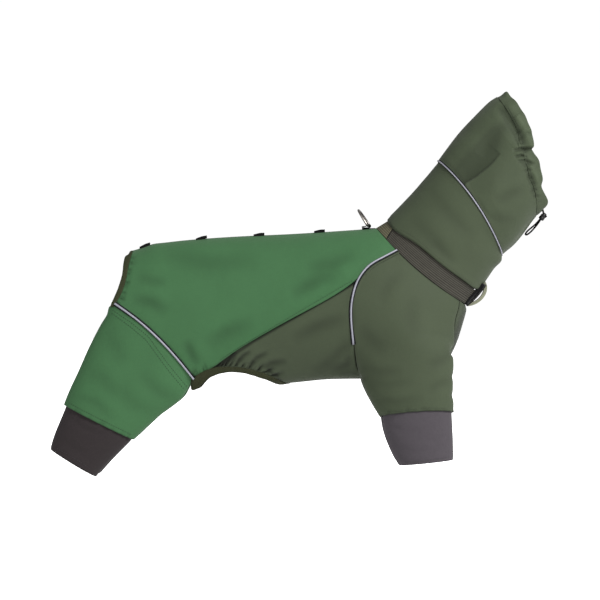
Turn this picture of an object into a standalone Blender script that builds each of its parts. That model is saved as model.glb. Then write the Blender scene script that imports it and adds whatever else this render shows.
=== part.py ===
"""Rain suit for a dog: a hooded coat with four legs, standing filled out and hollow.

Millimetres in the tables, metres in the scene.  +X runs towards the head, +Z up, and the
right side of the suit is at -Y.  The origin lies at the withers, under the back panels.

The body and the hood are tunnels: fans of rings, each with a spine point, a belly or throat
point, a half width and a bow.  A place on a tunnel is (station, angle), the angle running
from 0 at the spine down the right side to 180 at the belly and back up the left to 360.
Each panel is a patch between its seams on a tunnel, and then gets its wall.
"""
import math

import bmesh
import bpy
import numpy as np

MM = 0.001
WALL = 1.5               # coated cloth, with its seam allowances
SEAM_GAP = 0.3           # between two pieces along a seam
WEBBING_WALL = 2.0
NAPE_LIFT = 0.2          # the nape tape stands a little above the webbing
BINDING_WALL = 2.4
BINDING_LIFT = 0.5       # how far a binding stands above its panel
PIPING_WIDTH = 3.0
PIPING_HEIGHT = 2.6
PIPING_LIFT = 0.9
CASING_WALL = 2.6        # hem channel of the hood, with the drawcord in it
RING_WIRE = 3.0
RING_WIDTH = 30.0        # back ring, outside
RING_HEIGHT = 28.5
RING_CORNER = 3.5
RING_LEAN = 57.0         # degrees above the back, leaning to the rear
RING_X = 40.5
TAB_TAPE = 1.2           # tape folded round the ring's bar
TAB_WIDTH = 14.0
TAB_TAIL = 10.0
TAB_LIFT = 0.7           # its height above the cloth at the spine
BAR_CLEARANCE = 0.3
CORD_DIAMETER = 2.4
LOCK_DIAMETER = 11.0
BUCKLE_WALL = 5.5        # throat buckle, and how far it stands above the webbing
BUCKLE_LIFT = 4.0
THROAT_LOOP_TAPE = 2.4
THROAT_LOOP_WIDTH = 20.0

HEAD_SPREAD = ((0.44, 3.4), (0.82, 6.4))     # share of a back panel's columns, and its station on the spine

# Rings of the body: spine x, z; belly x, z; half width; bow to the rear.
BODY_RINGS = {
    "rump":    (-301.0, -28.7, -352.8, -222.6, 50.4, 0.0),
    "croup":   (-245.0, -14.7, -266.0, -246.4, 58.8, 0.0),
    "loin":    (-189.0, -9.1, -196.0, -238.0, 61.6, 0.0),
    "flank":   (-133.0, -5.6, -133.0, -224.0, 63.0, 0.0),
    "waist":   (-70.0, -2.8, -67.2, -211.4, 65.8, 0.0),
    "girth":   (-14.0, 0.7, 0.0, -205.8, 70.0, 0.0),
    "elbow":   (16.8, 2.8, 63.0, -204.4, 72.8, 0.0),
    "brisket": (36.4, 4.2, 126.0, -196.0, 70.0, 0.0),
    "breast":  (47.6, 4.9, 165.2, -158.2, 62.0, 3.0),
    "throat":  (49.4, 5.3, 179.6, -110.6, 55.0, 8.0),
    "neck":    (50.4, 5.6, 177.1, -102.2, 52.0, 9.0),
    "band":    (69.3, 16.8, 191.8, -82.6, 50.0, 3.5),
}
# Rings of the collar and hood, from under the collar's hem to past the face edge.
HOOD_RINGS = {
    "hem":    (58.2, 11.6, 194.3, -85.2, 53.6, 9.0),
    "collar": (103.6, 58.8, 215.6, -53.2, 50.0, 4.0),
    "top":    (137.2, 99.4, 226.8, -32.2, 49.0, -7.4),
    "nape":   (165.2, 137.2, 242.2, -19.6, 52.0, -8.4),
    "crown":  (190.4, 163.8, 257.6, -1.4, 51.0, -11.2),
    "brow":   (212.8, 185.5, 271.6, 18.2, 45.0, -12.6),
    "face":   (231.0, 193.2, 281.4, 28.0, 37.0, -14.0),
    "lip":    (240.8, 194.6, 302.4, 37.8, 33.0, -14.0),
}
NECK = list(BODY_RINGS).index("neck")
BAND = list(BODY_RINGS).index("band")
COLLAR_TOP = list(HOOD_RINGS).index("top")

# Seams and edges of the right side, as places seen from the side: x, z.
RUMP_BINDING_INNER = ((-291.6, -32.9), (-294.6, -47.3), (-297.6, -68.6), (-304.5, -88.2), (-311.5, -100.7))
RUMP_BINDING_OUTER = ((-299.9, -29.1), (-301.1, -42.7), (-303.0, -62.4), (-307.4, -77.7), (-317.1, -100.7))
HIND_SEAM = ((-311.5, -100.7), (-272.6, -129.2), (-243.7, -156.5), (-219.5, -184.0), (-204.3, -203.7))
FLANK_EDGE = ((-204.3, -203.7), (-196.1, -198.4), (-187.6, -192.9), (-176.8, -189.6))
SADDLE_SEAM = ((-176.8, -189.6), (-150.9, -169.4), (-121.1, -151.2), (21.6, -68.2))
SHOULDER_SEAM = ((76.6, -27.9), (50.4, -39.2), (31.4, -55.4), (21.6, -68.2))
SLEEVE_BACK_SEAM = ((21.6, -68.2), (14.0, -99.4), (13.7, -108.4), (15.4, -137.2), (18.9, -163.8))
CHEST_SEAM = ((164.5, -97.7), (161.0, -119.6), (159.6, -141.8), (159.2, -157.9))
BELLY_EDGE = ((-176.8, -189.6), (-163.9, -188.2), (-149.0, -188.2), (-132.9, -189.8), (-116.9, -194.0),
              (-106.1, -197.3), (-84.7, -206.9))
BELLY_BINDING_OUTER = ((-204.6, -220.6), (-194.6, -216.6), (-188.6, -208.0), (-177.9, -201.6),
                       (-165.1, -196.7), (-149.0, -195.2), (-132.9, -196.7), (-116.9, -201.6),
                       (-97.0, -208.6))
SLEEVE_BACK_LOW = ((21.7, -183.4), (24.5, -195.0))
# Under the front leg the armhole runs along the body: station, angle.
CHEST_LOW = ((7.7, 161.0), (7.45, 163.0))
ARMHOLE_UNDER = ((5.75, 163.0), (6.2, 168.5), (6.7, 169.5), (7.1, 168.0))
CAP_FOOT = ((5.9, 122.5), (6.5, 122.0), (7.1, 125.0), (7.6, 135.0))   # the cap's lower edge, outside
BELLY_CENTRE = 3.97      # station where the belly edge crosses the middle
BELLY_BINDING_CENTRE = 3.80
COLLAR_HEM = ((75.0, -0.5), (93.8, -9.8), (112.0, -23.2), (140.0, -47.2), (173.9, -70.4), (190.0, -83.0))
COLLAR_HEM_NAPE = 0.17   # station of the hem at the nape and in the notch at the throat
COLLAR_HEM_THROAT = 0.42
CASING_SEAM = ((230.0, 172.0), (244.4, 146.0), (253.4, 108.1), (262.6, 76.2), (271.6, 53.5))
CASING_SPINE = 5.35
CASING_THROAT = 5.30
FACE_EDGE = ((244.4, 182.4), (255.5, 164.2), (268.7, 121.8), (266.4, 112.6), (275.5, 99.0),
             (281.5, 70.8), (279.3, 63.3), (288.4, 47.3), (290.6, 42.0))
FACE_THROAT = 6.0
WEBBING_CUT = ((62.2, -12.5), (75.0, 6.2))   # end of the webbing beside the nape tape: foot, head
THROAT_HALF_ANGLE = 16.0                     # half of the gap that the throat buckle fills
# Inner line of the tape loop on the buckle: up along the band from the neck seam, and out from it.
THROAT_LOOP = ((2.6, 3.5), (5.0, 3.6), (8.0, 5.4), (11.5, 6.6), (16.5, 7.3), (22.0, 7.4), (28.0, 6.6),
               (33.0, 5.0), (36.5, 3.8))
# Drawcord from the lock, round its hanging loop and back: x, y, z.
DRAWCORD = (
    (279.9, -1.3, 17.9), (275.8, -2.6, 13.2), (271.2, -3.4, 8.8), (266.2, -3.6, 4.8), (261.8, -2.6, 0.8),
    (259.6, 0.0, -3.0), (262.0, 2.8, -3.6), (267.2, 3.7, 0.2), (272.6, 3.5, 6.0), (277.2, 2.6, 11.8),
    (280.7, 1.3, 17.2),
)
DRAWCORD_STEPS = 26
LOCK_CENTRE = (284.0, 0.0, 22.0)

# Leg rings: back x, z; front x, z; centre from the middle plane; half thickness.
HIND_LEG = {
    "thigh": (-330.4, -121.8, -215.6, -232.4, 35.5, 25.5),
    "knee":  (-352.5, -166.6, -246.4, -253.3, 36.5, 26.5),
    "shank": (-375.2, -217.0, -271.6, -275.8, 38.0, 26.5),
    "hem":   (-384.6, -239.7, -285.5, -289.7, 39.0, 26.5),
}
HIND_CUFF = {
    "tuck":   (-379.6, -236.7, -288.2, -282.9, 39.0, 23.6),
    "top":    (-382.6, -245.5, -290.4, -291.4, 39.0, 24.0),
    "middle": (-390.6, -265.2, -304.1, -304.5, 38.5, 23.5),
    "lower":  (-397.9, -283.8, -322.0, -322.0, 38.0, 22.5),
    "edge":   (-402.8, -302.0, -338.2, -340.8, 38.0, 22.0),
}
FRONT_LEG = {
    "armpit": (21.7, -183.4, 159.3, -180.6, 43.0, 30.5),
    "elbow":  (24.3, -197.0, 158.0, -194.0, 43.0, 30.0),
    "joint":  (28.0, -208.6, 157.5, -207.0, 43.0, 30.0),
    "upper":  (34.6, -221.8, 157.2, -219.6, 43.0, 29.5),
    "lower":  (42.0, -238.0, 155.8, -234.6, 43.0, 29.0),
    "hem":    (53.9, -258.3, 158.9, -251.2, 43.0, 28.5),
}
FRONT_CUFF = {
    "tuck":   (57.6, -249.6, 154.2, -243.4, 43.0, 26.0),
    "top":    (57.2, -264.6, 155.2, -257.4, 43.0, 26.0),
    "middle": (62.6, -289.1, 156.8, -281.4, 42.5, 25.5),
    "lower":  (71.4, -309.4, 156.8, -302.4, 42.0, 25.0),
    "edge":   (80.4, -324.8, 157.2, -316.7, 42.0, 24.5),
}
FRONT_HEM_RISE = 6.0     # the sleeve's hem is cut higher outside
THIGH_DIP = 14.0         # the inner thigh is cut lower than the seam
THIGH_RISE = 22.0        # and its ends rise to the seam's
THIGH_FORWARD = 14.0
SLEEVE_BULGE = 15.0      # the sleeve stands out from the chest at the armpit
# How much of the armhole's shape each ring of the leg still has.
SLEEVE_FADE = {"joint": 0.4, "upper": 0.12, "lower": 0.0, "hem": 0.0}
LEG_CENTRE = 38.0        # what lies nearer the middle plane is the inside of a leg
SLEEVE_RELAX = 8
RELAX_IN = 0.5           # shares of the two steps that even a layer out
RELAX_OUT = -0.53
SLEEVE_SPLIT = (-5.0, 212.0)   # stretch of the leg's rings that hangs from the outer half, in degrees

# Folds seen from the side: x, z, turn in degrees, half length, half width, rise, share on the left side.
HOOD_FOLDS = (
    (189.0, 91.0, 40.0, 30.0, 17.0, -7.0, 0.8),
    (233.0, 131.0, 60.0, 26.0, 12.0, -4.5, 1.0),
    (196.0, 112.0, 38.0, 30.0, 8.0, 2.6, 0.7),
    (215.0, 70.0, 65.0, 26.0, 9.0, 2.0, 1.0),
    (246.0, 92.0, 25.0, 22.0, 7.0, -2.4, 1.1),
    (252.0, 62.0, 40.0, 18.0, 6.0, -2.0, 0.9),
)
BODY_FOLDS = (
    (-118.0, -172.0, 78.0, 22.0, 5.0, -1.6, 1.0),
    (-144.0, -176.0, 96.0, 18.0, 5.0, -1.6, 0.9),
    (-20.0, -170.0, 35.0, 34.0, 9.0, -2.2, 1.0),
    (-30.0, -190.0, 20.0, 36.0, 7.0, 1.4, 0.8),
    (-240.0, -110.0, 60.0, 40.0, 12.0, -1.8, 1.1),
    (30.0, -120.0, 80.0, 36.0, 9.0, 1.6, 1.0),
)
SLEEVE_FOLDS = (
    (62.0, -196.0, 22.0, 30.0, 7.0, -2.4, 1.0),
    (92.0, -226.0, 12.0, 34.0, 6.0, -1.8, 0.8),
    (120.0, -178.0, 70.0, 30.0, 10.0, 1.8, 1.0),
)
HIND_FOLDS = (
    (-300.0, -200.0, 40.0, 36.0, 9.0, -2.2, 1.0),
    (-325.0, -232.0, 30.0, 30.0, 7.0, -1.8, 0.9),
    (-262.0, -222.0, 55.0, 26.0, 8.0, 1.8, 1.0),
)
SPINE_LOOPS = (-273.0, -193.9, -113.4, -28.7)   # places of the loops along the back
LOOP_LENGTH = 15.0
LOOP_WIDTH = 9.0
LOOP_TAPE = 1.2
LOOP_LIFT = 0.9
LOOP_SHAPE = ((-7.5, 0.0), (-5.0, 0.0), (-3.0, 1.6), (0.0, 2.2), (3.0, 1.6), (5.0, 0.0), (7.5, 0.0))

UNDER_SPLIT = 3          # sample of the underarm seam where the belly turns to the chest
KEEL_STEPS = 3           # columns from there to the middle
CUFF_COLUMNS = 18
HOOD_COLUMNS = 13        # round each half of the collar and hood
HOOD_RUFFLES = 9         # gathers round each half of the face edge
RUFFLE_HEIGHT = 1.5
CASING_STEPS = 3         # the casing's columns for each of the hood's
GATHER_HEIGHT = 0.45     # of the rump binding
BINDING_STEPS = 3


def srgb(red, green, blue):
    """Linear colour from the 0 to 255 values that a screen shows."""
    return tuple((value / 255.0) ** 2.2 for value in (red, green, blue))


# Finishes: colour, roughness, metallic.
FINISHES = {
    "green_cloth": (srgb(76, 112, 79), 0.62, 0.0),
    "olive_cloth": (srgb(82, 90, 71), 0.62, 0.0),
    "front_cuff_knit": (srgb(88, 83, 87), 0.85, 0.0),
    "hind_cuff_knit": (srgb(62, 56, 56), 0.85, 0.0),
    "webbing": (srgb(72, 70, 64), 0.75, 0.0),
    "olive_tape": (srgb(94, 96, 74), 0.75, 0.0),
    "binding": (srgb(60, 62, 42), 0.7, 0.0),
    "piping": (srgb(158, 158, 168), 0.45, 0.0),
    "black_tape": (srgb(20, 20, 20), 0.7, 0.0),
    "black_plastic": (srgb(12, 12, 12), 0.35, 0.0),
    "ring_steel": (srgb(190, 190, 190), 0.25, 1.0),
    "drawcord": (srgb(16, 16, 16), 0.7, 0.0),
}


# ---------------------------------------------------------------- smooth tables and tunnels

def table_slopes(rows):
    """Slopes that keep a curve through a table's rows free of overshoot."""
    steps = np.diff(rows, axis=0)
    slopes = np.zeros_like(rows)
    slopes[0] = steps[0]
    slopes[-1] = steps[-1]
    product = steps[:-1] * steps[1:]
    total = steps[:-1] + steps[1:]
    safe = np.where(np.abs(total) > 1e-9, total, 1.0)
    slopes[1:-1] = np.where(product > 0, 2 * product / safe, 0.0)
    return slopes


def read_table(rows, slopes, place):
    """Row of a table at a place between its rows, on a smooth curve."""
    last = len(rows) - 2
    low = int(min(max(math.floor(place), 0), last))
    t = place - low
    square, cube = t * t, t * t * t
    return ((2 * cube - 3 * square + 1) * rows[low] + (cube - 2 * square + t) * slopes[low]
            + (3 * square - 2 * cube) * rows[low + 1] + (cube - square) * slopes[low + 1])


def unit(vector):
    return vector / max(np.linalg.norm(vector), 1e-12)


def fold_rise(folds, x, z, left):
    """Height of the folds at a place seen from the side."""
    rise = 0.0
    for fold_x, fold_z, turn, half_length, half_width, height, left_share in folds:
        cos, sin = math.cos(math.radians(turn)), math.sin(math.radians(turn))
        along = ((x - fold_x) * cos + (z - fold_z) * sin) / half_length
        across = (-(x - fold_x) * sin + (z - fold_z) * cos) / half_width
        share = left_share if left else 1.0
        rise += height * share * math.exp(-along * along - across * across)
    return rise


class Tunnel:
    """A hollow form of cloth through rings that fan along its length."""

    def __init__(self, rings, folds):
        self.rows = np.array(list(rings.values()), float)
        self.slopes = table_slopes(self.rows)
        self.folds = folds

    def frame(self, station):
        row = read_table(self.rows, self.slopes, station)
        spine, belly = row[0:2], row[2:4]
        centre = (spine + belly) / 2
        half_height = np.linalg.norm(spine - belly) / 2
        up = (spine - belly) / (2 * half_height)
        rear = np.array([-up[1], up[0]])
        return centre, half_height, up, rear, row[4], row[5]

    def smooth_point(self, station, angle):
        centre, half_height, up, rear, half_width, bow = self.frame(station)
        cos, sin = math.cos(math.radians(angle)), math.sin(math.radians(angle))
        side_view = centre + half_height * cos * up + bow * sin * sin * rear
        return np.array([side_view[0], -half_width * sin, side_view[1]])

    def normal(self, station, angle):
        step, turn = 0.04, 1.0
        along = self.smooth_point(station + step, angle) - self.smooth_point(station - step, angle)
        around = self.smooth_point(station, angle + turn) - self.smooth_point(station, angle - turn)
        return unit(np.cross(around, along))

    def point(self, station, angle):
        """The cloth, with its folds, which fade out at spine and belly."""
        place = self.smooth_point(station, angle)
        sin = math.sin(math.radians(angle))
        rise = fold_rise(self.folds, place[0], place[2], sin < 0) * sin * sin
        return place + self.normal(station, angle) * rise

    def angle_at(self, station, x, z):
        centre, half_height, up, _, _, _ = self.frame(station)
        cos = float(np.dot(np.array([x, z]) - centre, up) / half_height)
        return math.degrees(math.acos(min(max(cos, -1.0), 1.0)))

    def locate(self, x, z):
        """Station and angle, on the right side, of a place seen from the side."""
        def ahead(station):
            centre, _, _, rear, _, bow = self.frame(station)
            sin = math.sin(math.radians(self.angle_at(station, x, z)))
            return float(np.dot(np.array([x, z]) - centre, -rear)) + bow * sin * sin
        low, high = 0.0, float(len(self.rows) - 1)
        for _ in range(48):
            middle = (low + high) / 2
            if ahead(middle) > 0:
                low = middle
            else:
                high = middle
        return low, self.angle_at(low, x, z)


BODY = Tunnel(BODY_RINGS, BODY_FOLDS)
HOOD = Tunnel(HOOD_RINGS, HOOD_FOLDS)


# ---------------------------------------------------------------- seams and patches

def through(places, count, surface):
    """Evenly spaced places on the smooth curve through a few places of a surface."""
    rows = np.array(places, float)
    slopes = table_slopes(rows)
    fine = [read_table(rows, slopes, t) for t in np.linspace(0, len(rows) - 1, 12 * count)]
    points = np.array([surface.smooth_point(*place) for place in fine])
    run = np.concatenate([[0.0], np.cumsum(np.linalg.norm(np.diff(points, axis=0), axis=1))])
    wanted = np.linspace(0, run[-1], count)
    fine = np.array(fine)
    return np.column_stack([np.interp(wanted, run, fine[:, column]) for column in (0, 1)])


def side_seam(places, count, surface, first=None, last=None):
    """A seam through places seen from the side, with its ends given in full where they need it."""
    located = [surface.locate(x, z) for x, z in places]
    if first:
        located.insert(0, first)
    if last:
        located.append(last)
    return through(located, count, surface)


def coons(head, foot, back, front):
    """Grid of places between four edges; head and foot run from back to front."""
    rows, columns = len(back), len(head)
    u = np.linspace(0, 1, columns)[None, :, None]
    v = np.linspace(0, 1, rows)[:, None, None]
    across = (1 - v) * head[None] + v * foot[None]
    down = (1 - u) * back[:, None] + u * front[:, None]
    corners = ((1 - u) * (1 - v) * head[0] + u * (1 - v) * head[-1]
               + (1 - u) * v * foot[0] + u * v * foot[-1])
    return across + down - corners


def lay_on(surface, places, ripple=None):
    """Points and normals of a grid of places on a surface."""
    points = np.array([[surface.point(*place) for place in row] for row in places])
    normals = np.array([[surface.normal(*place) for place in row] for row in places])
    if ripple is not None:
        points = points + normals * ripple[:, :, None]
    return points, normals


def mirrored_places(places):
    """The same seam on the left side."""
    return np.column_stack([places[:, 0], 360.0 - places[:, 1]])


# ---------------------------------------------------------------- cloth shells

class Shell:
    """One layer of cloth in quads, which wall() turns into a closed wall."""

    def __init__(self):
        self.points, self.normals, self.faces, self.index = [], [], [], {}

    def vertex(self, point, normal=None):
        key = tuple(np.round(point, 2))
        if key not in self.index:
            self.index[key] = len(self.points)
            self.points.append(np.array(point, float))
            self.normals.append(None if normal is None else np.array(normal, float))
        return self.index[key]

    def quad(self, corners):
        distinct = list(dict.fromkeys(corners))
        if len(distinct) > 2:
            self.faces.append(distinct)

    def grid(self, points, normals=None, closed=False):
        rows, columns = points.shape[:2]
        ids = [[self.vertex(points[r][c], None if normals is None else normals[r][c])
                for c in range(columns)] for r in range(rows)]
        for r in range(rows - 1):
            for c in range(columns if closed else columns - 1):
                n = (c + 1) % columns
                self.quad((ids[r][c], ids[r + 1][c], ids[r + 1][n], ids[r][n]))
        return ids

    def face_normal(self, face, points):
        corners = [points[i] for i in face]
        total = sum(np.cross(corners[i] - corners[0], corners[i + 1] - corners[0])
                    for i in range(1, len(corners) - 1))
        return total

    def orient(self, points, outward):
        """Turns all faces to the side of the given normals, or else away from the middle."""
        middle = points.mean(axis=0)
        score = 0.0
        for face in self.faces:
            flat = self.face_normal(face, points)
            if outward is None:
                aim = np.mean([points[i] for i in face], axis=0) - middle
            else:
                known = [outward[i] for i in face if outward[i] is not None]
                aim = sum(known) if known else np.zeros(3)
            score += float(np.dot(flat, aim))
        if score < 0:
            self.faces = [face[::-1] for face in self.faces]

    def rim(self):
        """Edges with one face, each in the direction in which its face runs."""
        seen = {}
        for face in self.faces:
            for i, a in enumerate(face):
                b = face[(i + 1) % len(face)]
                seen[(a, b)] = face
        return [(a, b) for (a, b) in seen if (b, a) not in seen]

    def all_normals(self, points):
        summed = np.zeros_like(points)
        for face in self.faces:
            flat = self.face_normal(face, points)
            for i in face:
                summed[i] += flat
        return np.array([unit(summed[i]) if given is None else given
                         for i, given in enumerate(self.normals)])

    def relax(self, rounds):
        """Evens the layer out between its rims, and keeps its fullness."""
        points = np.array(self.points)
        ends = np.array([(a, b) for face in self.faces for a, b in zip(face, face[1:] + face[:1])])
        free = np.ones(len(points), bool)
        free[[i for edge in self.rim() for i in edge]] = False
        degree = np.bincount(ends.ravel(), minlength=len(points))
        for share in (RELAX_IN, RELAX_OUT) * rounds:
            total = np.zeros_like(points)
            np.add.at(total, ends[:, 0], points[ends[:, 1]])
            np.add.at(total, ends[:, 1], points[ends[:, 0]])
            points[free] += share * (total / degree[:, None] - points)[free]
        self.points = list(points)

    def draw_back(self, points, normals, edges, distance):
        """Moves the rim into the piece by an even distance, mitred at its corners."""
        inward = {}
        for a, b in edges:
            run = unit(points[b] - points[a])
            for i in (a, b):
                inward.setdefault(i, []).append(unit(np.cross(normals[i], run)))
        moved = points.copy()
        for i, ways in inward.items():
            if len(ways) == 2:
                moved[i] += distance * (ways[0] + ways[1]) / max(1 + float(np.dot(ways[0], ways[1])), 0.4)
        return moved

    def wall(self, name, finish, thickness=WALL, lift=0.0, mirrored=False, gap=SEAM_GAP / 2):
        """Closed wall under the layer, as an object."""
        points = np.array(self.points)
        given = self.normals if any(n is not None for n in self.normals) else None
        self.orient(points, given)
        normals = self.all_normals(points)
        edges = self.rim()
        outer = self.draw_back(points, normals, edges, gap) + normals * lift
        inner = outer - normals * thickness
        faces = list(self.faces)
        count = len(points)
        faces += [[i + count for i in face[::-1]] for face in self.faces]
        faces += [[b, a, a + count, b + count] for a, b in edges]
        vertices = np.vstack([outer, inner])
        if mirrored:
            vertices = vertices * np.array([1.0, -1.0, 1.0])
            faces = [face[::-1] for face in faces]
        return add_object(name, finish, vertices, faces)


def add_object(name, finish, vertices, faces):
    """Object from points in millimetres; every sheet and strip of the suit ends here."""
    bm = bmesh.new()
    made = [bm.verts.new(tuple(MM * float(value) for value in vertex)) for vertex in vertices]
    for face in faces:
        bm.faces.new([made[i] for i in face])
    mesh = bpy.data.meshes.new(name)
    bm.to_mesh(mesh)
    bm.free()
    return link(name, finish, mesh)


def link(name, finish, data):
    if isinstance(data, bpy.types.Mesh):
        data.shade_smooth()
        data.set_sharp_from_angle(angle=math.radians(38))
    obj = bpy.data.objects.new(name, data)
    data.materials.append(material(finish))
    bpy.context.scene.collection.objects.link(obj)
    return obj


def material(finish):
    """Principled material of a finish, made once."""
    if finish in bpy.data.materials:
        return bpy.data.materials[finish]
    colour, roughness, metallic = FINISHES[finish]
    made = bpy.data.materials.new(finish)
    made.use_nodes = True
    shader = made.node_tree.nodes["Principled BSDF"]
    shader.inputs["Base Color"].default_value = (*colour, 1.0)
    shader.inputs["Roughness"].default_value = roughness
    shader.inputs["Metallic"].default_value = metallic
    return made


def sides():
    """Name ending and mirror flag of the right and the left side."""
    return (("right", False), ("left", True))


# ---------------------------------------------------------------- seams of the suit

REAR_EDGE = side_seam(RUMP_BINDING_INNER[1:], 8, BODY, first=(0.19, 0.0))
HIND = side_seam(HIND_SEAM, 11, BODY)
FLANK = side_seam(FLANK_EDGE, 3, BODY)
SADDLE = side_seam(SADDLE_SEAM, 11, BODY)
SHOULDER_END = (float(NECK), BODY.angle_at(NECK, *SHOULDER_SEAM[0]))
SHOULDER = side_seam(SHOULDER_SEAM[1:], 6, BODY, first=SHOULDER_END)[::-1]
SLEEVE_BACK = np.vstack([side_seam(SLEEVE_BACK_SEAM, 7, BODY),
                         [BODY.locate(x, z) for x, z in SLEEVE_BACK_LOW]])
NECK_AT_SHOULDER = SHOULDER[-1][1]
NECK_AT_CHEST = BODY.angle_at(NECK, *CHEST_SEAM[0])
CHEST = np.vstack([side_seam(CHEST_SEAM[1:], 12, BODY, first=(float(NECK), NECK_AT_CHEST)), CHEST_LOW])
UNDERARM = through([SLEEVE_BACK[-1], *ARMHOLE_UNDER, CHEST[-1]], 10, BODY)
BELLY = side_seam(BELLY_EDGE, len(SLEEVE_BACK) + UNDER_SPLIT + KEEL_STEPS, BODY, last=(BELLY_CENTRE, 180.0))


def neck_line(first_angle, last_angle, count):
    return np.column_stack([np.full(count, float(NECK)), np.linspace(first_angle, last_angle, count)])


def add_backs():
    """Green back panels, with the centre-back seam along the spine."""
    foot = np.vstack([HIND, FLANK[1:], SADDLE[1:], SHOULDER[1:]])
    columns = len(foot)
    head_stations = np.interp(np.linspace(0, 1, columns), *zip((0, REAR_EDGE[0][0]), *HEAD_SPREAD, (1, NECK)))
    head = np.column_stack([head_stations, np.zeros(columns)])
    front = neck_line(0.0, NECK_AT_SHOULDER, len(REAR_EDGE))
    for side, flip in sides():
        shell = Shell()
        shell.grid(*lay_on(BODY, coons(head, foot, REAR_EDGE, front)))
        shell.wall(f"back_{side}", "green_cloth", mirrored=flip)


def add_underbody():
    """Olive panel under the belly and up the chest, in one piece between the sleeves."""
    shell = Shell()
    middle = np.array([UNDERARM[UNDER_SPLIT][0] + 0.05, 180.0])
    cross = through([UNDERARM[UNDER_SPLIT], middle], KEEL_STEPS + 1, BODY)
    front = np.vstack([SLEEVE_BACK, UNDERARM[1:UNDER_SPLIT + 1], cross[1:]])
    run = np.linspace(0, 1, len(SADDLE))
    centre = np.column_stack([BELLY_CENTRE + (middle[0] - BELLY_CENTRE) * run, np.full(len(SADDLE), 180.0)])
    patch = coons(SADDLE, centre, BELLY, front)
    side_edge = np.vstack([UNDERARM[UNDER_SPLIT:], CHEST[::-1][1:]])
    steps = len(side_edge)
    keel_stations = np.linspace(middle[0], NECK, steps)
    keel = np.column_stack([keel_stations, np.full(steps, 180.0)])
    neck = neck_line(NECK_AT_CHEST, 180.0, len(cross))
    chest = np.transpose(coons(cross, neck, side_edge, keel), (1, 0, 2))
    for places in (patch, chest):
        shell.grid(*lay_on(BODY, places))
        left = places[::-1].copy()
        left[:, :, 1] = 360.0 - left[:, :, 1]
        shell.grid(*lay_on(BODY, left))
    shell.wall("underbody", "olive_cloth")


def leg_ring(row, count, first=0.0, last=360.0):
    """Points round a leg: 0 at the back edge, 90 outside, 180 at the front edge."""
    back, front = np.array(row[0:2]), np.array(row[2:4])
    centre, half = (back + front) / 2, (back - front) / 2
    ring = []
    for angle in np.radians(np.linspace(first, last, count)):
        side_view = centre + half * math.cos(angle)
        ring.append((side_view[0], -row[4] - row[5] * math.sin(angle), side_view[1]))
    return np.array(ring)


def fold_leg(shell, ids, folds):
    """Presses the side-view folds into a leg: outside in full, inside by half, and not at its ends."""
    last = len(ids) - 1
    for number, ring in enumerate(ids):
        fade = min(1.0, (last - number) / 2) if number else 0.0
        for i in ring:
            x, y, z = shell.points[i]
            rise = fade * fold_rise(folds, x, z, False)
            shell.points[i][1] += 0.5 * rise if y > -LEG_CENTRE else -rise


def sleeve_cap(columns, rows):
    """Points and normals of the sleeve's outer half from the neck seam to the armpit."""
    head = neck_line(NECK_AT_SHOULDER, NECK_AT_CHEST, columns)
    back = np.vstack([SHOULDER[::-1], SLEEVE_BACK[1:]])[:rows]
    front = CHEST[:rows]
    foot = through([back[-1], *CAP_FOOT, front[-1]], columns, BODY)
    points, normals = lay_on(BODY, coons(head, foot, back, front))
    fall = np.linspace(0, 1, rows)[:, None] ** 2
    swell = np.sin(np.linspace(0, math.pi, columns))[None, :] ** 2
    points[:, :, 1] -= SLEEVE_BULGE * fall * swell
    return points, normals


def sleeve_ring(row, columns, inside):
    """Ring of a front leg: outer points, then inner ones."""
    first, last = SLEEVE_SPLIT
    outer = leg_ring(row, columns, first, last)
    inner = leg_ring(row, inside + 2, last, first + 360.0)[1:-1]
    if row is FRONT_LEG["hem"]:
        outer[:, 2] += FRONT_HEM_RISE * np.clip(np.sin(np.radians(np.linspace(first, last, columns))), 0, 1)
    return np.vstack([outer, inner])


def add_sleeves():
    """Raglan sleeves: one piece from the neck seam down the front leg."""
    columns, rows = 13, len(CHEST) - len(CHEST_LOW)
    cap, cap_normals = sleeve_cap(columns, rows)
    under, under_normals = lay_on(BODY, UNDERARM[::-1][None, 1:-1])
    back_low, back_normals = lay_on(BODY, SLEEVE_BACK[None, -2:])
    front_low, front_normals = lay_on(BODY, CHEST[None, -2:])
    share = np.linspace(0, 1, columns)[:, None]
    low_rows = [leg_ring(FRONT_LEG[name], columns, *SLEEVE_SPLIT) for name in ("armpit", "elbow")]
    for number, row in enumerate(low_rows):
        to_back = back_low[0][number] - row[0]
        to_front = front_low[0][number] - row[-1]
        row += to_back * (1 - share) ** 3 + to_front * share ** 3
    patch = np.vstack([cap, np.array(low_rows)])
    inside = under.shape[1]
    rings = [np.vstack([patch[-1], under[0]])]
    pull = rings[0] - sleeve_ring(FRONT_LEG["elbow"], columns, inside)
    for name, fade in SLEEVE_FADE.items():
        rings.append(sleeve_ring(FRONT_LEG[name], columns, inside) + fade * pull)
    for side, flip in sides():
        shell = Shell()
        cap_ids = shell.grid(patch)
        tube_ids = shell.grid(np.array(rings), closed=True)
        shell.relax(SLEEVE_RELAX)
        fold_leg(shell, tube_ids, SLEEVE_FOLDS)
        for r in range(rows):
            shell.normals[cap_ids[r][0]] = cap_normals[r][0]
            shell.normals[cap_ids[r][-1]] = cap_normals[r][-1]
        for number in (0, 1):
            shell.normals[cap_ids[rows + number][0]] = back_normals[0][number]
            shell.normals[cap_ids[rows + number][-1]] = front_normals[0][number]
        for c in range(columns):
            shell.normals[cap_ids[0][c]] = cap_normals[0][c]
        for c in range(inside):
            shell.normals[tube_ids[0][columns + c]] = under_normals[0][c]
        shell.wall(f"sleeve_{side}", "olive_cloth", mirrored=flip)


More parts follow.
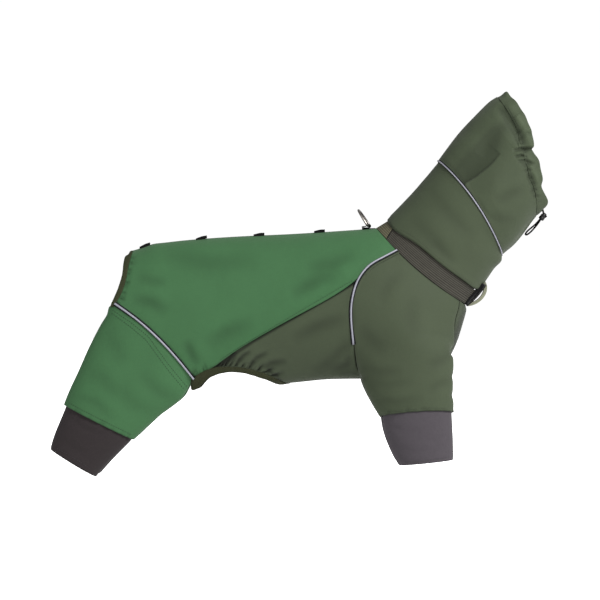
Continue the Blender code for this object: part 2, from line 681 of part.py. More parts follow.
def add_hind_legs():
    """Green hind legs: the outer edge is the seam on the back panel, the inner edge is open."""
    columns, inside_columns = len(HIND), 8
    seam_points, seam_normals = lay_on(BODY, HIND[None])
    thigh = HIND_LEG["thigh"]
    inner_top = leg_ring(thigh, inside_columns + 2, 180.0, 360.0)[1:-1]
    drop = np.sin(np.linspace(0, math.pi, inside_columns + 2))[1:-1]
    inner_top[:, 0] += THIGH_FORWARD * (1 - drop)
    inner_top[:, 2] += THIGH_RISE - THIGH_DIP * drop
    top_ring = np.vstack([seam_points[0], inner_top])
    rings = [top_ring]
    for number, row in enumerate(HIND_LEG.values()):
        ring = np.vstack([leg_ring(row, columns, 0.0, 180.0),
                          leg_ring(row, inside_columns + 2, 180.0, 360.0)[1:-1]])
        rings.append(ring)
        following = list(HIND_LEG.values())[number + 1:number + 2]
        for after in following:
            halfway = tuple((a + b) / 2 for a, b in zip(row, after))
            rings.append(np.vstack([leg_ring(halfway, columns, 0.0, 180.0),
                                    leg_ring(halfway, inside_columns + 2, 180.0, 360.0)[1:-1]]))
    for side, flip in sides():
        shell = Shell()
        ids = shell.grid(np.array(rings), closed=True)
        fold_leg(shell, ids, HIND_FOLDS)
        for c in range(columns):
            shell.normals[ids[0][c]] = seam_normals[0][c]
        shell.wall(f"hind_leg_{side}", "green_cloth", mirrored=flip)


def add_cuffs():
    """Knitted cuffs that come out from inside the leg hems."""
    for name, table, finish in (("front_cuff", FRONT_CUFF, "front_cuff_knit"),
                                ("hind_cuff", HIND_CUFF, "hind_cuff_knit")):
        rings = np.array([leg_ring(row, CUFF_COLUMNS + 1)[:-1] for row in table.values()])
        for side, flip in sides():
            shell = Shell()
            shell.grid(rings, closed=True)
            shell.wall(f"{name}_{side}", finish, mirrored=flip)


def refine(points, steps):
    """Adds evenly spaced points on the chords of a line of points."""
    count = (len(points) - 1) * steps + 1
    places = np.linspace(0, len(points) - 1, count)
    return np.column_stack([np.interp(places, np.arange(len(points)), points[:, k]) for k in range(3)])


def round_trip(right):
    """Right-side places from spine to throat, then the left side's back to the spine."""
    return np.vstack([right, mirrored_places(right)[::-1][1:-1]])


def hem_line():
    places = [HOOD.locate(x, z) for x, z in COLLAR_HEM]
    return through([(COLLAR_HEM_NAPE, 0.0), *places, (COLLAR_HEM_THROAT, 180.0)], HOOD_COLUMNS, HOOD)


def collar_seam():
    return through([(COLLAR_TOP, angle) for angle in (0.0, 60.0, 120.0, 180.0)], HOOD_COLUMNS, HOOD)


def casing_line():
    return side_seam(CASING_SEAM, HOOD_COLUMNS, HOOD, first=(CASING_SPINE, 0.0), last=(CASING_THROAT, 180.0))


def between(near, far, rows):
    """Rows of places from one line to another."""
    share = np.linspace(0, 1, rows)[:, None, None]
    return (1 - share) * near[None] + share * far[None]


def add_collar():
    """Stand-up collar, a tube whose hem lies over the top of the webbing."""
    shell = Shell()
    places = between(round_trip(hem_line()), round_trip(collar_seam()), 5)
    shell.grid(*lay_on(HOOD, places), closed=True)
    shell.wall("collar", "olive_cloth")


def add_hood():
    """Hood halves with a centre seam."""
    near, far = collar_seam(), casing_line()
    for side, flip in sides():
        places = between(near, far, 8)
        if flip:
            places[:, :, 1] = 360.0 - places[:, :, 1]
            places = places[::-1]
        shell = Shell()
        shell.grid(*lay_on(HOOD, places))
        shell.wall(f"hood_{side}", "olive_cloth")


def add_casing():
    """Gathered hem channel round the face, with the drawcord inside."""
    seam_points, seam_normals = lay_on(HOOD, round_trip(casing_line())[None])
    closing = [0]
    loop = list(range(seam_points.shape[1])) + closing
    first = refine(seam_points[0][loop], CASING_STEPS)[:-1]
    first_normals = refine(seam_normals[0][loop], CASING_STEPS)[:-1]
    located = [HOOD.locate(x, z) for x, z in FACE_EDGE]
    half = CASING_STEPS * (HOOD_COLUMNS - 1) + 1
    face = through([(FACE_THROAT, 0.0), *located, (FACE_THROAT, 180.0)], half, HOOD)
    last, last_normals = lay_on(HOOD, round_trip(face)[None])
    share = np.linspace(0, 2 * math.pi, len(first), endpoint=False)
    wave = np.sin(2 * HOOD_RUFFLES * share) * (0.55 + 0.45 * np.abs(np.sin(share)))
    rows, normals = [first], [first_normals]
    for along in (0.5, 1.0):
        aim = first_normals + along * (last_normals[0] - first_normals)
        row = first + along * (last[0] - first) + aim * (RUFFLE_HEIGHT * along * wave)[:, None]
        rows.append(row)
        normals.append(aim / np.linalg.norm(aim, axis=1)[:, None])
    shell = Shell()
    shell.grid(np.array(rows), np.array(normals), closed=True)
    shell.wall("hood_casing", "olive_cloth", thickness=CASING_WALL)


def band_places(first, last, columns, rows=3):
    """Places on the neck band between two slanted ends, each an angle at the foot and at the head."""
    foot = np.linspace(first[0], last[0], columns)
    head = np.linspace(first[1], last[1], columns)
    stations = np.linspace(NECK + 0.03, BAND - 0.03, rows)
    share = np.linspace(0, 1, rows)
    return np.array([[(stations[r], (1 - share[r]) * foot[c] + share[r] * head[c]) for c in range(columns)]
                     for r in range(rows)])


def add_neck_band():
    """Webbing round the neck, right and left, and the tape across the nape."""
    cut = (BODY.angle_at(NECK, *WEBBING_CUT[0]), BODY.angle_at(BAND, *WEBBING_CUT[1]))
    end = 180.0 - THROAT_HALF_ANGLE
    for side, flip in sides():
        shell = Shell()
        shell.grid(*lay_on(BODY, band_places(cut, (end, end), 14)))
        shell.wall(f"webbing_{side}", "webbing", thickness=WEBBING_WALL, mirrored=flip)
    shell = Shell()
    shell.grid(*lay_on(BODY, band_places((-cut[0], -cut[1]), cut, 9)))
    shell.wall("nape_tape", "olive_tape", thickness=WEBBING_WALL, lift=NAPE_LIFT)


def edge_strip(name, inner, inner_normals, outer, outer_normals, wave):
    """Binding over a raw edge: a gathered strip from the panel's rim outwards."""
    middle = (inner + outer) / 2 + inner_normals * wave[:, None]
    shell = Shell()
    normals = np.array([inner_normals, (inner_normals + outer_normals) / 2, outer_normals])
    normals = normals / np.linalg.norm(normals, axis=2)[:, :, None]
    shell.grid(np.array([inner, middle, outer]), normals)
    shell.wall(name, "binding", thickness=BINDING_WALL, lift=BINDING_LIFT)


def both_sides(right):
    """Line from the right end over the middle to the left end."""
    left = right[1:] * np.array([1.0, -1.0, 1.0])
    return np.vstack([right[::-1], left])


def add_bindings():
    """Elastic bindings of the opening under the suit: over the rump, and along the belly."""
    for name, rim, places, first, last, steps in (
            ("rump_binding", REAR_EDGE, RUMP_BINDING_OUTER, (0.02, 0.0), None, BINDING_STEPS),
            ("belly_binding", np.vstack([FLANK, BELLY[1:]])[::-1], BELLY_BINDING_OUTER[::-1],
             (BELLY_BINDING_CENTRE, 180.0), None, 1)):
        inner, normals = lay_on(BODY, rim[None])
        inner, normals = refine(inner[0], steps), refine(normals[0], steps)
        outer_places = side_seam(places[1:] if first[1] == 0.0 else places, len(inner), BODY, first=first)
        outer, outer_normals = lay_on(BODY, outer_places[None])
        wave = GATHER_HEIGHT * np.where(np.arange(2 * len(inner) - 1) % 2, 1.0, -1.0)
        edge_strip(name, both_sides(inner), both_sides(normals), both_sides(outer[0]),
                   both_sides(outer_normals[0]), wave)


def add_cord_trim(name, surface, places, closed=False, mirrored=False):
    """Piping: a low round-topped strip that stands on a seam."""
    points, normals = lay_on(surface, places[None])
    points, normals = points[0], normals[0]
    runs = np.roll(points, -1, 0) - np.roll(points, 1, 0) if closed else np.gradient(points, axis=0)
    half, top = PIPING_WIDTH / 2, 0.6 * PIPING_WIDTH / 2
    profile = ((-half, PIPING_LIFT), (-top, PIPING_HEIGHT), (top, PIPING_HEIGHT), (half, PIPING_LIFT))
    vertices = []
    for point, normal, run in zip(points, normals, runs):
        across = unit(np.cross(unit(run), normal))
        vertices += [point + a * across + h * normal for a, h in profile]
    sides_count, count = len(profile), len(points)
    faces = []
    for i in range(count if closed else count - 1):
        n = (i + 1) % count
        for k in range(sides_count):
            j = (k + 1) % sides_count
            faces.append([i * sides_count + k, i * sides_count + j, n * sides_count + j, n * sides_count + k])
    if not closed:
        faces.append([3, 2, 1, 0])
        faces.append([(count - 1) * sides_count + k for k in range(sides_count)])
    vertices = np.array(vertices)
    if mirrored:
        vertices = vertices * np.array([1.0, -1.0, 1.0])
        faces = [face[::-1] for face in faces]
    return add_object(name, "piping", vertices, faces)


def add_pipings():
    shoulder = np.vstack([SHOULDER[::-1][1:], SLEEVE_BACK[1:6]])
    shoulder[0] = 0.6 * SHOULDER[::-1][0] + 0.4 * SHOULDER[::-1][1]
    for side, flip in sides():
        add_cord_trim(f"shoulder_piping_{side}", BODY, shoulder, mirrored=flip)
        add_cord_trim(f"hind_piping_{side}", BODY, HIND, mirrored=flip)
    add_cord_trim("collar_piping", HOOD, round_trip(collar_seam()), closed=True)


def add_strip(name, finish, path, thickness, width):
    """Tape or plate seen edge-on along a path of x, z points; its thickness lies to the path's left."""
    path = np.array(path, float)
    runs = np.gradient(path, axis=0)
    runs = runs / np.linalg.norm(runs, axis=1)[:, None]
    bends = [unit(path[i + 1] - path[i]) for i in range(len(path) - 1)]
    mitres = [math.sqrt((1 + float(np.dot(a, b))) / 2) for a, b in zip(bends, bends[1:])]
    stretch = np.array([1.0, *[1 / max(mitre, 0.6) for mitre in mitres], 1.0])[:, None]
    offset = path + np.column_stack([-runs[:, 1], runs[:, 0]]) * thickness * stretch
    count = len(path)
    outline = [(x, side * width / 2, z) for side in (-1, 1) for line in (path, offset) for x, z in line]
    near_path, near_off, far_path, far_off = (0, count, 2 * count, 3 * count)
    faces = []
    for i in range(count - 1):
        faces.append([near_path + i, near_path + i + 1, near_off + i + 1, near_off + i])
        faces.append([far_path + i + 1, far_path + i, far_off + i, far_off + i + 1])
        faces.append([near_path + i + 1, near_path + i, far_path + i, far_path + i + 1])
        faces.append([near_off + i, near_off + i + 1, far_off + i + 1, far_off + i])
    faces.append([near_path, near_off, far_off, far_path])
    end = count - 1
    faces.append([near_off + end, near_path + end, far_path + end, far_off + end])
    return add_object(name, finish, outline, faces)


def spine_height(x):
    """Height of the cloth at the spine."""
    rows = BODY.rows
    return float(np.interp(x, rows[:, 0], rows[:, 1]))


def add_spine_loops():
    """Flat loops of tape on the centre-back seam."""
    half = LOOP_LENGTH / 2
    for number, x in enumerate(SPINE_LOOPS, start=1):
        slope = (spine_height(x + half) - spine_height(x - half)) / LOOP_LENGTH
        path = [(x + along, spine_height(x) + slope * along + LOOP_LIFT + rise) for along, rise in LOOP_SHAPE]
        add_strip(f"spine_loop_{number}", "black_tape", path, LOOP_TAPE, LOOP_WIDTH)


def bar_height():
    """Height of the ring's bar in its tab."""
    return spine_height(RING_X) + TAB_LIFT + TAB_TAPE + BAR_CLEARANCE + RING_WIRE / 2


def add_ring_tab():
    """Folded tape that holds the ring's bar."""
    inner = RING_WIRE / 2 + BAR_CLEARANCE
    bar = bar_height()
    low = bar - inner
    path = [(RING_X - TAB_TAIL, low), (RING_X - 3.0, low)]
    for angle in np.radians((-90, -60, -30, 0, 30, 60, 90, 125)):
        path.append((RING_X + inner * math.cos(angle), bar + inner * math.sin(angle)))
    path += [(RING_X - 4.6, low + 0.4), (RING_X - TAB_TAIL, low + 0.4)]
    add_strip("ring_tab", "black_tape", path[::-1], TAB_TAPE, TAB_WIDTH)


def add_tube(name, finish, points, diameter, cyclic=False):
    """Round bar or cord through points in millimetres."""
    curve = bpy.data.curves.new(name, "CURVE")
    curve.dimensions = "3D"
    curve.bevel_depth = MM * diameter / 2
    curve.bevel_resolution = 2
    curve.use_fill_caps = not cyclic
    spline = curve.splines.new("POLY")
    spline.points.add(len(points) - 1)
    spline.use_cyclic_u = cyclic
    for made, point in zip(spline.points, points):
        made.co = (*(MM * float(value) for value in point), 1.0)
    return link(name, finish, curve)


def add_back_ring():
    """D ring that leans to the rear; its bar lies in the tab, and its origin on the bar."""
    half = (RING_WIDTH - RING_WIRE) / 2
    height = RING_HEIGHT - RING_WIRE / 2
    corner = RING_CORNER
    flat = [(y, 0.0) for y in (corner - half, 0.0, half - corner)]
    turn = [(half - corner + corner * math.cos(a), corner + corner * math.sin(a))
            for a in np.radians((-60, -30, 0))]
    arch = [(half * math.cos(a), corner + (height - corner) * math.sin(a))
            for a in np.radians(range(18, 163, 18))]
    back = [(-y, up) for y, up in turn[::-1]]
    lean = math.radians(180.0 - RING_LEAN)
    points = [(up * math.cos(lean), y, up * math.sin(lean)) for y, up in flat + turn + arch + back]
    ring = add_tube("back_ring", "ring_steel", points, RING_WIRE, cyclic=True)
    ring.location = (MM * RING_X, 0.0, MM * bar_height())


def throat_place(along, out):
    """Place in the middle plane at the throat: up along the neck band, and out from it."""
    foot, head = BODY.rows[NECK][2:4], BODY.rows[BAND][2:4]
    run = unit(head - foot)
    return foot + along * run + out * np.array([run[1], -run[0]])


def add_throat():
    """Buckle that joins the webbing's ends at the throat, and the loop of tape on it."""
    end = 180.0 - THROAT_HALF_ANGLE
    shell = Shell()
    shell.grid(*lay_on(BODY, band_places((end, end), (360.0 - end, 360.0 - end), 6)))
    shell.wall("throat_buckle", "black_plastic", thickness=BUCKLE_WALL, lift=BUCKLE_LIFT)
    loop = [throat_place(along, out) for along, out in THROAT_LOOP[::-1]]
    add_strip("throat_loop", "olive_tape", loop, THROAT_LOOP_TAPE, THROAT_LOOP_WIDTH)


def add_drawcord():
    """Loop of the drawcord below its lock, and the barrel lock under the casing."""
    rows = np.array(DRAWCORD)
    slopes = np.gradient(rows, axis=0)
    path = [read_table(rows, slopes, t) for t in np.linspace(0, len(rows) - 1, DRAWCORD_STEPS)]
    add_tube("drawcord", "drawcord", path, CORD_DIAMETER)
    bm = bmesh.new()
    bmesh.ops.create_uvsphere(bm, u_segments=12, v_segments=8, radius=MM * LOCK_DIAMETER / 2)
    mesh = bpy.data.meshes.new("cord_lock")
    bm.to_mesh(mesh)
    bm.free()
    lock = link("cord_lock", "black_plastic", mesh)
    lock.location = tuple(MM * value for value in LOCK_CENTRE)


def main():
    for obj in list(bpy.data.objects):
        bpy.data.objects.remove(obj)
    add_backs()
    add_underbody()
    add_sleeves()
    add_hind_legs()
    add_cuffs()
    add_collar()
    add_hood()
    add_casing()
    add_neck_band()
    add_bindings()
    add_pipings()
    add_spine_loops()
    add_ring_tab()
    add_back_ring()
    add_throat()
    add_drawcord()


main()
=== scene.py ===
# %% [markdown]
# # A rain suit for a dog
# The suit stands filled out and hollow, as a catalogue shows it, seen from its right side. The packed
# model gives the walls of every panel. This lesson turns them into cloth: it smooths the panels, presses
# folds and gathers into them, sews the seams and gives each material its weave.
#
# First comes the frame. Every place below is in millimetres of the suit's own frame, with +X towards the
# head, +Z up and the right side at -Y.

import math
import random

import bmesh
import bpy
import numpy as np
from mathutils import Matrix, Vector
from mathutils.bvhtree import BVHTree
from mathutils.kdtree import KDTree


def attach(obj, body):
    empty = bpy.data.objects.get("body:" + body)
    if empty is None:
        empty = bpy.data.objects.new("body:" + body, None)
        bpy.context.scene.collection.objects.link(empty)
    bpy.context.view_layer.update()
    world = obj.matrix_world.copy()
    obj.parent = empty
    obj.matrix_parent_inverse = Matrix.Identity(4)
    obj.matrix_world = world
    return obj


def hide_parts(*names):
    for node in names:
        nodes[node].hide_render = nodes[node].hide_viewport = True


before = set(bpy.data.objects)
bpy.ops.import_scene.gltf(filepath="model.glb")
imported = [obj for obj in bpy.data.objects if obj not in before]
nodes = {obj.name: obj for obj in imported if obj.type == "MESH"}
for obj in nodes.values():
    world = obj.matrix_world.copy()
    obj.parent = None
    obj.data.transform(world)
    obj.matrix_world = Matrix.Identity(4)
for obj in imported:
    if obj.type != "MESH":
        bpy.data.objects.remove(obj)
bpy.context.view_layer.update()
MM = 0.001

# %% [markdown]
# The camera comes early, because everything is judged through it. The photograph looks straight at the
# suit's side from far away, so the camera stands several metres off with a long lens, and its frame is
# 840 mm wide in the suit's middle plane.

# %% Camera
LENS = 170.0
SENSOR = 36.0
FRAME_WIDTH = 840.0
AIM = (-56, 0, -95.2)


def add_camera():
    data = bpy.data.cameras.new("camera")
    data.lens = LENS
    data.sensor_width = SENSOR
    data.clip_end = 50.0
    camera = bpy.data.objects.new("camera", data)
    distance = FRAME_WIDTH * LENS / SENSOR
    camera.location = MM * Vector((AIM[0], AIM[1] - distance, AIM[2]))
    camera.rotation_euler = (math.radians(90.0), 0.0, 0.0)
    bpy.context.scene.collection.objects.link(camera)
    bpy.context.scene.camera = camera
    return distance


print("camera distance in mm:", round(add_camera()))

# %% [markdown]
# ## Small helpers
# A new object is always linked with its origin at the suit's origin, so its place is in its mesh. A
# modifier is applied by taking the evaluated mesh, which leaves the object plain.

# %% Objects and modifiers


def link(name, data):
    obj = bpy.data.objects.new(name, data)
    bpy.context.scene.collection.objects.link(obj)
    return obj


def mesh_object(name, bm):
    mesh = bpy.data.meshes.new(name)
    bm.to_mesh(mesh)
    bm.free()
    mesh.shade_smooth()
    return link(name, mesh)


def subdivide(obj, levels):
    modifier = obj.modifiers.new("smooth", "SUBSURF")
    modifier.levels = levels
    modifier.render_levels = levels
    modifier.boundary_smooth = "PRESERVE_CORNERS"
    graph = bpy.context.evaluated_depsgraph_get()
    graph.update()
    made = bpy.data.meshes.new_from_object(obj.evaluated_get(graph), depsgraph=graph)
    obj.modifiers.clear()
    obj.data = made
    obj.data.shade_smooth()


def vectors(items, name):
    flat = np.empty(len(items) * 3, np.float32)
    items.foreach_get(name, flat)
    return flat.reshape(-1, 3).astype(float)


def coordinates(mesh):
    return vectors(mesh.vertices, "co") / MM


def set_coordinates(mesh, points):
    mesh.vertices.foreach_set("co", (points * MM).astype(np.float32).ravel())
    mesh.update()


def vertex_normals(mesh):
    return vectors(mesh.vertex_normals, "vector")


# %% [markdown]
# ## The drawcord
# The drawcord comes out under the hood's edge, goes through the cord lock and hangs in one short loop.
# A cord is a curve with a round section, because a curve keeps its length and its thickness by itself.
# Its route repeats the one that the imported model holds.

# %% Drawcord
CORD_DIAMETER = 2.4
DRAWCORD = (
    (279.9, -1.3, 17.9), (275.8, -2.6, 13.2), (271.2, -3.4, 8.8), (266.2, -3.6, 4.8), (261.8, -2.6, 0.8),
    (259.6, 0, -3), (262, 2.8, -3.6), (267.2, 3.7, 0.2), (272.6, 3.5, 6), (277.2, 2.6, 11.8),
    (280.7, 1.3, 17.2),
)
CORD_STEPS = 40
CORD_ROUNDNESS = 3


def smooth_route(points, count):
    """Points on the smooth curve through a route, evenly spaced in its parameter."""
    rows = np.array(points, float)
    slopes = np.gradient(rows, axis=0)
    route = []
    for place in np.linspace(0, len(rows) - 1, count):
        low = min(int(place), len(rows) - 2)
        t = place - low
        square, cube = t * t, t * t * t
        route.append((2 * cube - 3 * square + 1) * rows[low] + (cube - 2 * square + t) * slopes[low]
                     + (3 * square - 2 * cube) * rows[low + 1] + (cube - square) * slopes[low + 1])
    return np.array(route)


def tube(name, route, diameter):
    curve = bpy.data.curves.new(name, "CURVE")
    curve.dimensions = "3D"
    curve.bevel_depth = MM * diameter / 2
    curve.bevel_resolution = CORD_ROUNDNESS
    curve.use_fill_caps = True
    spline = curve.splines.new("POLY")
    spline.points.add(len(route) - 1)
    for point, place in zip(spline.points, route):
        point.co = (*(MM * float(value) for value in place), 1.0)
    return link(name, curve)


cord_route = smooth_route(DRAWCORD, CORD_STEPS)
drawcord = tube("drawcord_loop", cord_route, CORD_DIAMETER)

# %% [markdown]
# ## Shader arithmetic
# A material is a small formula over the surface. The class below wraps a node's output, so that a
# formula can be written as an expression, and each operator adds the Math node for it.

# %% Wires and finishes


class Wire:
    """An output of a node; arithmetic on it adds Math nodes."""

    def __init__(self, finish, socket):
        self.finish = finish
        self.socket = socket

    def math(self, operation, *values):
        inputs = {place: value for place, value in enumerate(values)}
        return self.finish.node("ShaderNodeMath", {"operation": operation}, inputs)

    def __add__(self, other):
        return self.math("ADD", self, other)

    def __radd__(self, other):
        return self.math("ADD", other, self)

    def __sub__(self, other):
        return self.math("SUBTRACT", self, other)

    def __rsub__(self, other):
        return self.math("SUBTRACT", other, self)

    def __mul__(self, other):
        return self.math("MULTIPLY", self, other)

    def __rmul__(self, other):
        return self.math("MULTIPLY", other, self)

    def sine(self):
        return self.math("SINE", self)

    def clamp(self):
        return self.math("MAXIMUM", self.math("MINIMUM", self, 1.0), 0.0)


# %% [markdown]
# A finish is a Principled material under construction. Its fixed numbers stay on the shader's own
# sockets, and what varies over the surface is fed into them.

# %% Finishes


class Finish:
    """A Principled material under construction."""

    def __init__(self, name, roughness, **constants):
        self.material = bpy.data.materials.new(name)
        self.material.use_nodes = True
        self.tree = self.material.node_tree
        self.shader = self.tree.nodes["Principled BSDF"]
        self.shader.inputs["Roughness"].default_value = roughness
        for socket, value in constants.items():
            self.shader.inputs[socket.replace("_", " ")].default_value = value

    def node(self, kind, settings=None, inputs=None, output=0):
        """Adds any node, and returns a wire from one of its outputs."""
        made = self.tree.nodes.new(kind)
        for name, value in (settings or {}).items():
            setattr(made, name, value)
        for name, value in (inputs or {}).items():
            if isinstance(value, Wire):
                self.tree.links.new(value.socket, made.inputs[name])
            else:
                made.inputs[name].default_value = value
        return Wire(self, made.outputs[output])

    def feed(self, socket, wire):
        self.tree.links.new(wire.socket, self.shader.inputs[socket])

    def uv(self):
        """The two coordinates of the piece's own map, in metres along and across the cloth."""
        place = self.node("ShaderNodeTexCoord", output=2)
        parts = self.node("ShaderNodeSeparateXYZ", inputs={0: place})
        return parts, Wire(self, parts.socket.node.outputs[1])

    def attribute(self, name):
        """A number that the mesh holds at each vertex."""
        return self.node("ShaderNodeAttribute", {"attribute_name": name}, output=2)

    def noise(self, scale, detail=2.0, roughness=0.5):
        place = self.node("ShaderNodeTexCoord", output=3)
        return self.node("ShaderNodeTexNoise", inputs={"Vector": place, "Scale": scale, "Detail": detail,
                                                       "Roughness": roughness})

    def blend(self, share, first, second):
        """Colour between two colours, or wires of colour."""
        return self.node("ShaderNodeMix", {"data_type": "RGBA"}, {0: share, 6: first, 7: second}, output=2)

    def bump(self, height, strength, distance):
        wire = self.node("ShaderNodeBump", inputs={"Height": height, "Strength": strength,
                                                   "Distance": distance * MM})
        self.feed("Normal", wire)


STUDIO_SHARE = 0.225


def srgb(red, green, blue, share=1.0):
    """Surface colour of what the studio light shows as these screen values, times a share."""
    return (*(STUDIO_SHARE * share * (value / 255.0) ** 2.2 for value in (red, green, blue)), 1.0)


def tones(colour, low, high):
    """A darker and a lighter share of one colour."""
    return srgb(*colour, share=low), srgb(*colour, share=high)


# %% [markdown]
# ## Cloth
# The shell is a close plain weave with a water-repellent coat: dull, with a broad soft sheen, and with
# threads too fine to see from afar. The weave is a product of two sine waves along and across the map of
# each panel. Larger soft noise varies the colour a little, as handled cloth does.

# %% Cloth finishes
TURN = 2 * math.pi


def weave_height(finish, pitch):
    """Height of a plain weave with a thread every pitch millimetres."""
    along, across = finish.uv()
    waves = (along * (TURN / (pitch * MM))).sine() * (across * (TURN / (pitch * MM))).sine()
    return 0.5 + 0.5 * waves


def streaks(finish):
    """Uneven threads: long faint streaks along and across the panel."""
    along, across = finish.uv()
    threads = []
    for lengthwise, crosswise in ((60.0, 900.0), (900.0, 60.0)):
        place = finish.node("ShaderNodeCombineXYZ", inputs={0: along * lengthwise, 1: across * crosswise})
        threads.append(finish.node("ShaderNodeTexNoise",
                                   inputs={"Vector": place, "Scale": 1.0, "Detail": 1.0}))
    return 0.5 * threads[0] + 0.5 * threads[1]


def shell_cloth(name, colour, roughness=0.72, pitch=1.1):
    finish = Finish(name, roughness, Sheen_Weight=0.02, Sheen_Roughness=0.5, Specular_IOR_Level=0.06)
    weave = weave_height(finish, pitch)
    mottle = finish.noise(16.0, 3.0)
    grain = finish.noise(420.0, 2.0, 0.7)
    slubs = streaks(finish)
    shade = (0.3 * weave + 0.6 * mottle + 0.3 * grain + 0.3 * slubs - 0.25).clamp()
    face = finish.blend(shade, *tones(colour, 0.84, 1.15))
    # Raised cloth is blended to a lighter colour, by how high the ridge stands.
    lighter_on_ridges = (finish.attribute("ridge") * (0.4 + 0.8 * grain)).clamp()
    # Painted shade: cloth in hollows, along rims and along shade lines is blended to a darker colour.
    painted_shade = (finish.attribute("hollow") * (0.7 + 0.4 * mottle)).clamp()
    face = finish.blend(lighter_on_ridges, face, srgb(*colour, share=1.32))
    finish.feed("Base Color", finish.blend(painted_shade, face, srgb(*colour, share=0.22)))
    finish.feed("Roughness", roughness - 0.06 + 0.12 * mottle)
    crinkle = finish.noise(75.0, 3.0, 0.55)
    finish.bump(0.12 * weave + 0.9 * crinkle, 0.35, 1.2)
    return finish.material


GREEN = (72, 116, 76)
OLIVE = (76, 86, 66)
green_cloth = shell_cloth("green_shell", GREEN)
olive_cloth = shell_cloth("olive_shell", OLIVE)


def knit_cloth(name, colour):
    """Fine jersey of the cuffs: small wales along the leg, brushed face."""
    finish = Finish(name, 0.85, Sheen_Weight=0.02, Sheen_Roughness=0.6, Specular_IOR_Level=0.05)
    along, across = finish.uv()
    wales = (across * (TURN / (1.6 * MM))).sine()
    courses = (along * (TURN / (1.2 * MM)) + 1.4 * wales).sine()
    stitch = 0.5 + 0.25 * wales + 0.25 * courses
    fuzz = finish.noise(260.0, 3.0, 0.7)
    shade = (0.4 * stitch + 0.8 * fuzz - 0.1).clamp()
    finish.feed("Base Color", finish.blend(shade, *tones(colour, 0.8, 1.2)))
    finish.bump(0.6 * stitch + 0.5 * fuzz, 0.4, 0.5)
    return finish.material


# One jersey in two copies: the lighter front copy and the darker hind copy are painted light and shade, for
# the light that falls from the front.
front_knit_lit = knit_cloth("front_cuff_jersey_lit", (86, 81, 86))
hind_knit_shaded = knit_cloth("hind_cuff_jersey_shaded", (58, 52, 53))
print("cloth finishes:", green_cloth.name, olive_cloth.name, front_knit_lit.name, hind_knit_shaded.name)

# %% [markdown]
# ## Webbing, tape, trim and hard finishes
# Webbing and tape have ribs along their length. The map of each strip runs along it and across it, so a
# sine across the strip makes the ribs and a finer one along it makes the cross threads. The piping holds
# glass beads, so it is pale and slightly glittering.

# %% Strip finishes


def ribbed(name, colour, rib, thread, roughness=0.8, contrast=0.45):
    finish = Finish(name, roughness, Specular_IOR_Level=0.06)
    along, across = finish.attribute("along"), finish.attribute("across")
    ribs = 0.5 + 0.5 * (across * (TURN / (rib * MM))).sine()
    threads = 0.5 + 0.5 * (along * (TURN / (thread * MM)) + 1.6 * ribs).sine()
    wear = finish.noise(120.0, 2.0)
    shade = (0.8 * ribs + 0.16 * threads + 0.3 * wear - 0.16).clamp()
    finish.feed("Base Color", finish.blend(shade, *tones(colour, 1.0 - contrast, 1.0 + contrast)))
    finish.bump(ribs + 0.3 * threads, 0.7, 0.4)
    return finish.material


webbing_finish = ribbed("grey_webbing", (74, 72, 65), rib=2.7, thread=0.9, contrast=0.62)
nape_finish = ribbed("olive_tape", (105, 102, 82), rib=2.9, thread=0.9, contrast=0.5)
loop_finish = ribbed("throat_tape", (150, 152, 130), rib=2.2, thread=0.9, contrast=0.2)
binding_finish = ribbed("elastic_binding", (62, 66, 44), rib=1.5, thread=0.8, contrast=0.3)
# Near-black flange under the piping: painted shade for the shadow line beside the bead.
flange_shade_finish = ribbed("piping_flange_painted_shade", (34, 36, 38), rib=1.4, thread=0.8, contrast=0.3)
black_tape = ribbed("black_tape", (20, 20, 20), rib=1.3, thread=0.7, contrast=0.35)


def piping_material():
    finish = Finish("reflective_piping", 0.5, Specular_IOR_Level=0.3)
    beads = finish.node("ShaderNodeTexVoronoi", inputs={
        "Vector": finish.node("ShaderNodeTexCoord", output=3), "Scale": 900.0})
    wear = finish.noise(60.0, 2.0)
    shade = (0.55 * beads + 0.6 * wear).clamp()
    finish.feed("Base Color", finish.blend(shade, srgb(186, 186, 198), srgb(140, 140, 154)))
    finish.bump(1 - beads, 0.35, 0.25)
    return finish.material


def grained(name, roughness, noise, colours, bump, polish=None, **constants):
    """A finish that one fine noise varies: its colour, its relief and, if asked, its roughness."""
    finish = Finish(name, roughness, **constants)
    grain = finish.noise(*noise)
    finish.feed("Base Color", finish.blend(grain, *colours))
    if polish:
        finish.feed("Roughness", polish[0] + polish[1] * grain)
    finish.bump(grain, *bump)
    return finish.material


def cord_material():
    finish = Finish("braided_cord", 0.9, Specular_IOR_Level=0.02)
    braid = finish.noise(1500.0, 1.0)
    fuzz = finish.noise(600.0, 2.0)
    shade = (0.5 + 0.4 * braid + 0.3 * fuzz).clamp()
    finish.feed("Base Color", finish.blend(shade, srgb(2, 2, 2), srgb(12, 12, 12)))
    finish.bump(braid + 0.4 * fuzz, 0.5, 0.25)
    return finish.material


def thread_material(name, colour):
    return grained(name, 0.7, (900.0, 1.0), tones(colour, 0.8, 1.2), (0.3, 0.1), Specular_IOR_Level=0.15)


piping_finish = piping_material()
plastic_finish = grained("black_plastic", 0.46, (700.0, 2.0), (srgb(10, 10, 11), srgb(22, 22, 23)),
                         (0.15, 0.2), polish=(0.4, 0.16), Specular_IOR_Level=0.12)
steel_finish = grained("plated_wire", 0.25, (300.0, 4.0, 0.7), (srgb(128, 120, 114), srgb(192, 188, 182)),
                       (0.08, 0.2), polish=(0.16, 0.25), Metallic=1.0)
cord_finish = cord_material()
green_thread = thread_material("green_thread", (34, 62, 38))
olive_thread = thread_material("olive_thread", (62, 70, 54))
grey_thread = thread_material("grey_thread", (58, 54, 58))
drawcord.data.materials.append(cord_finish)
print("trim finishes ready")

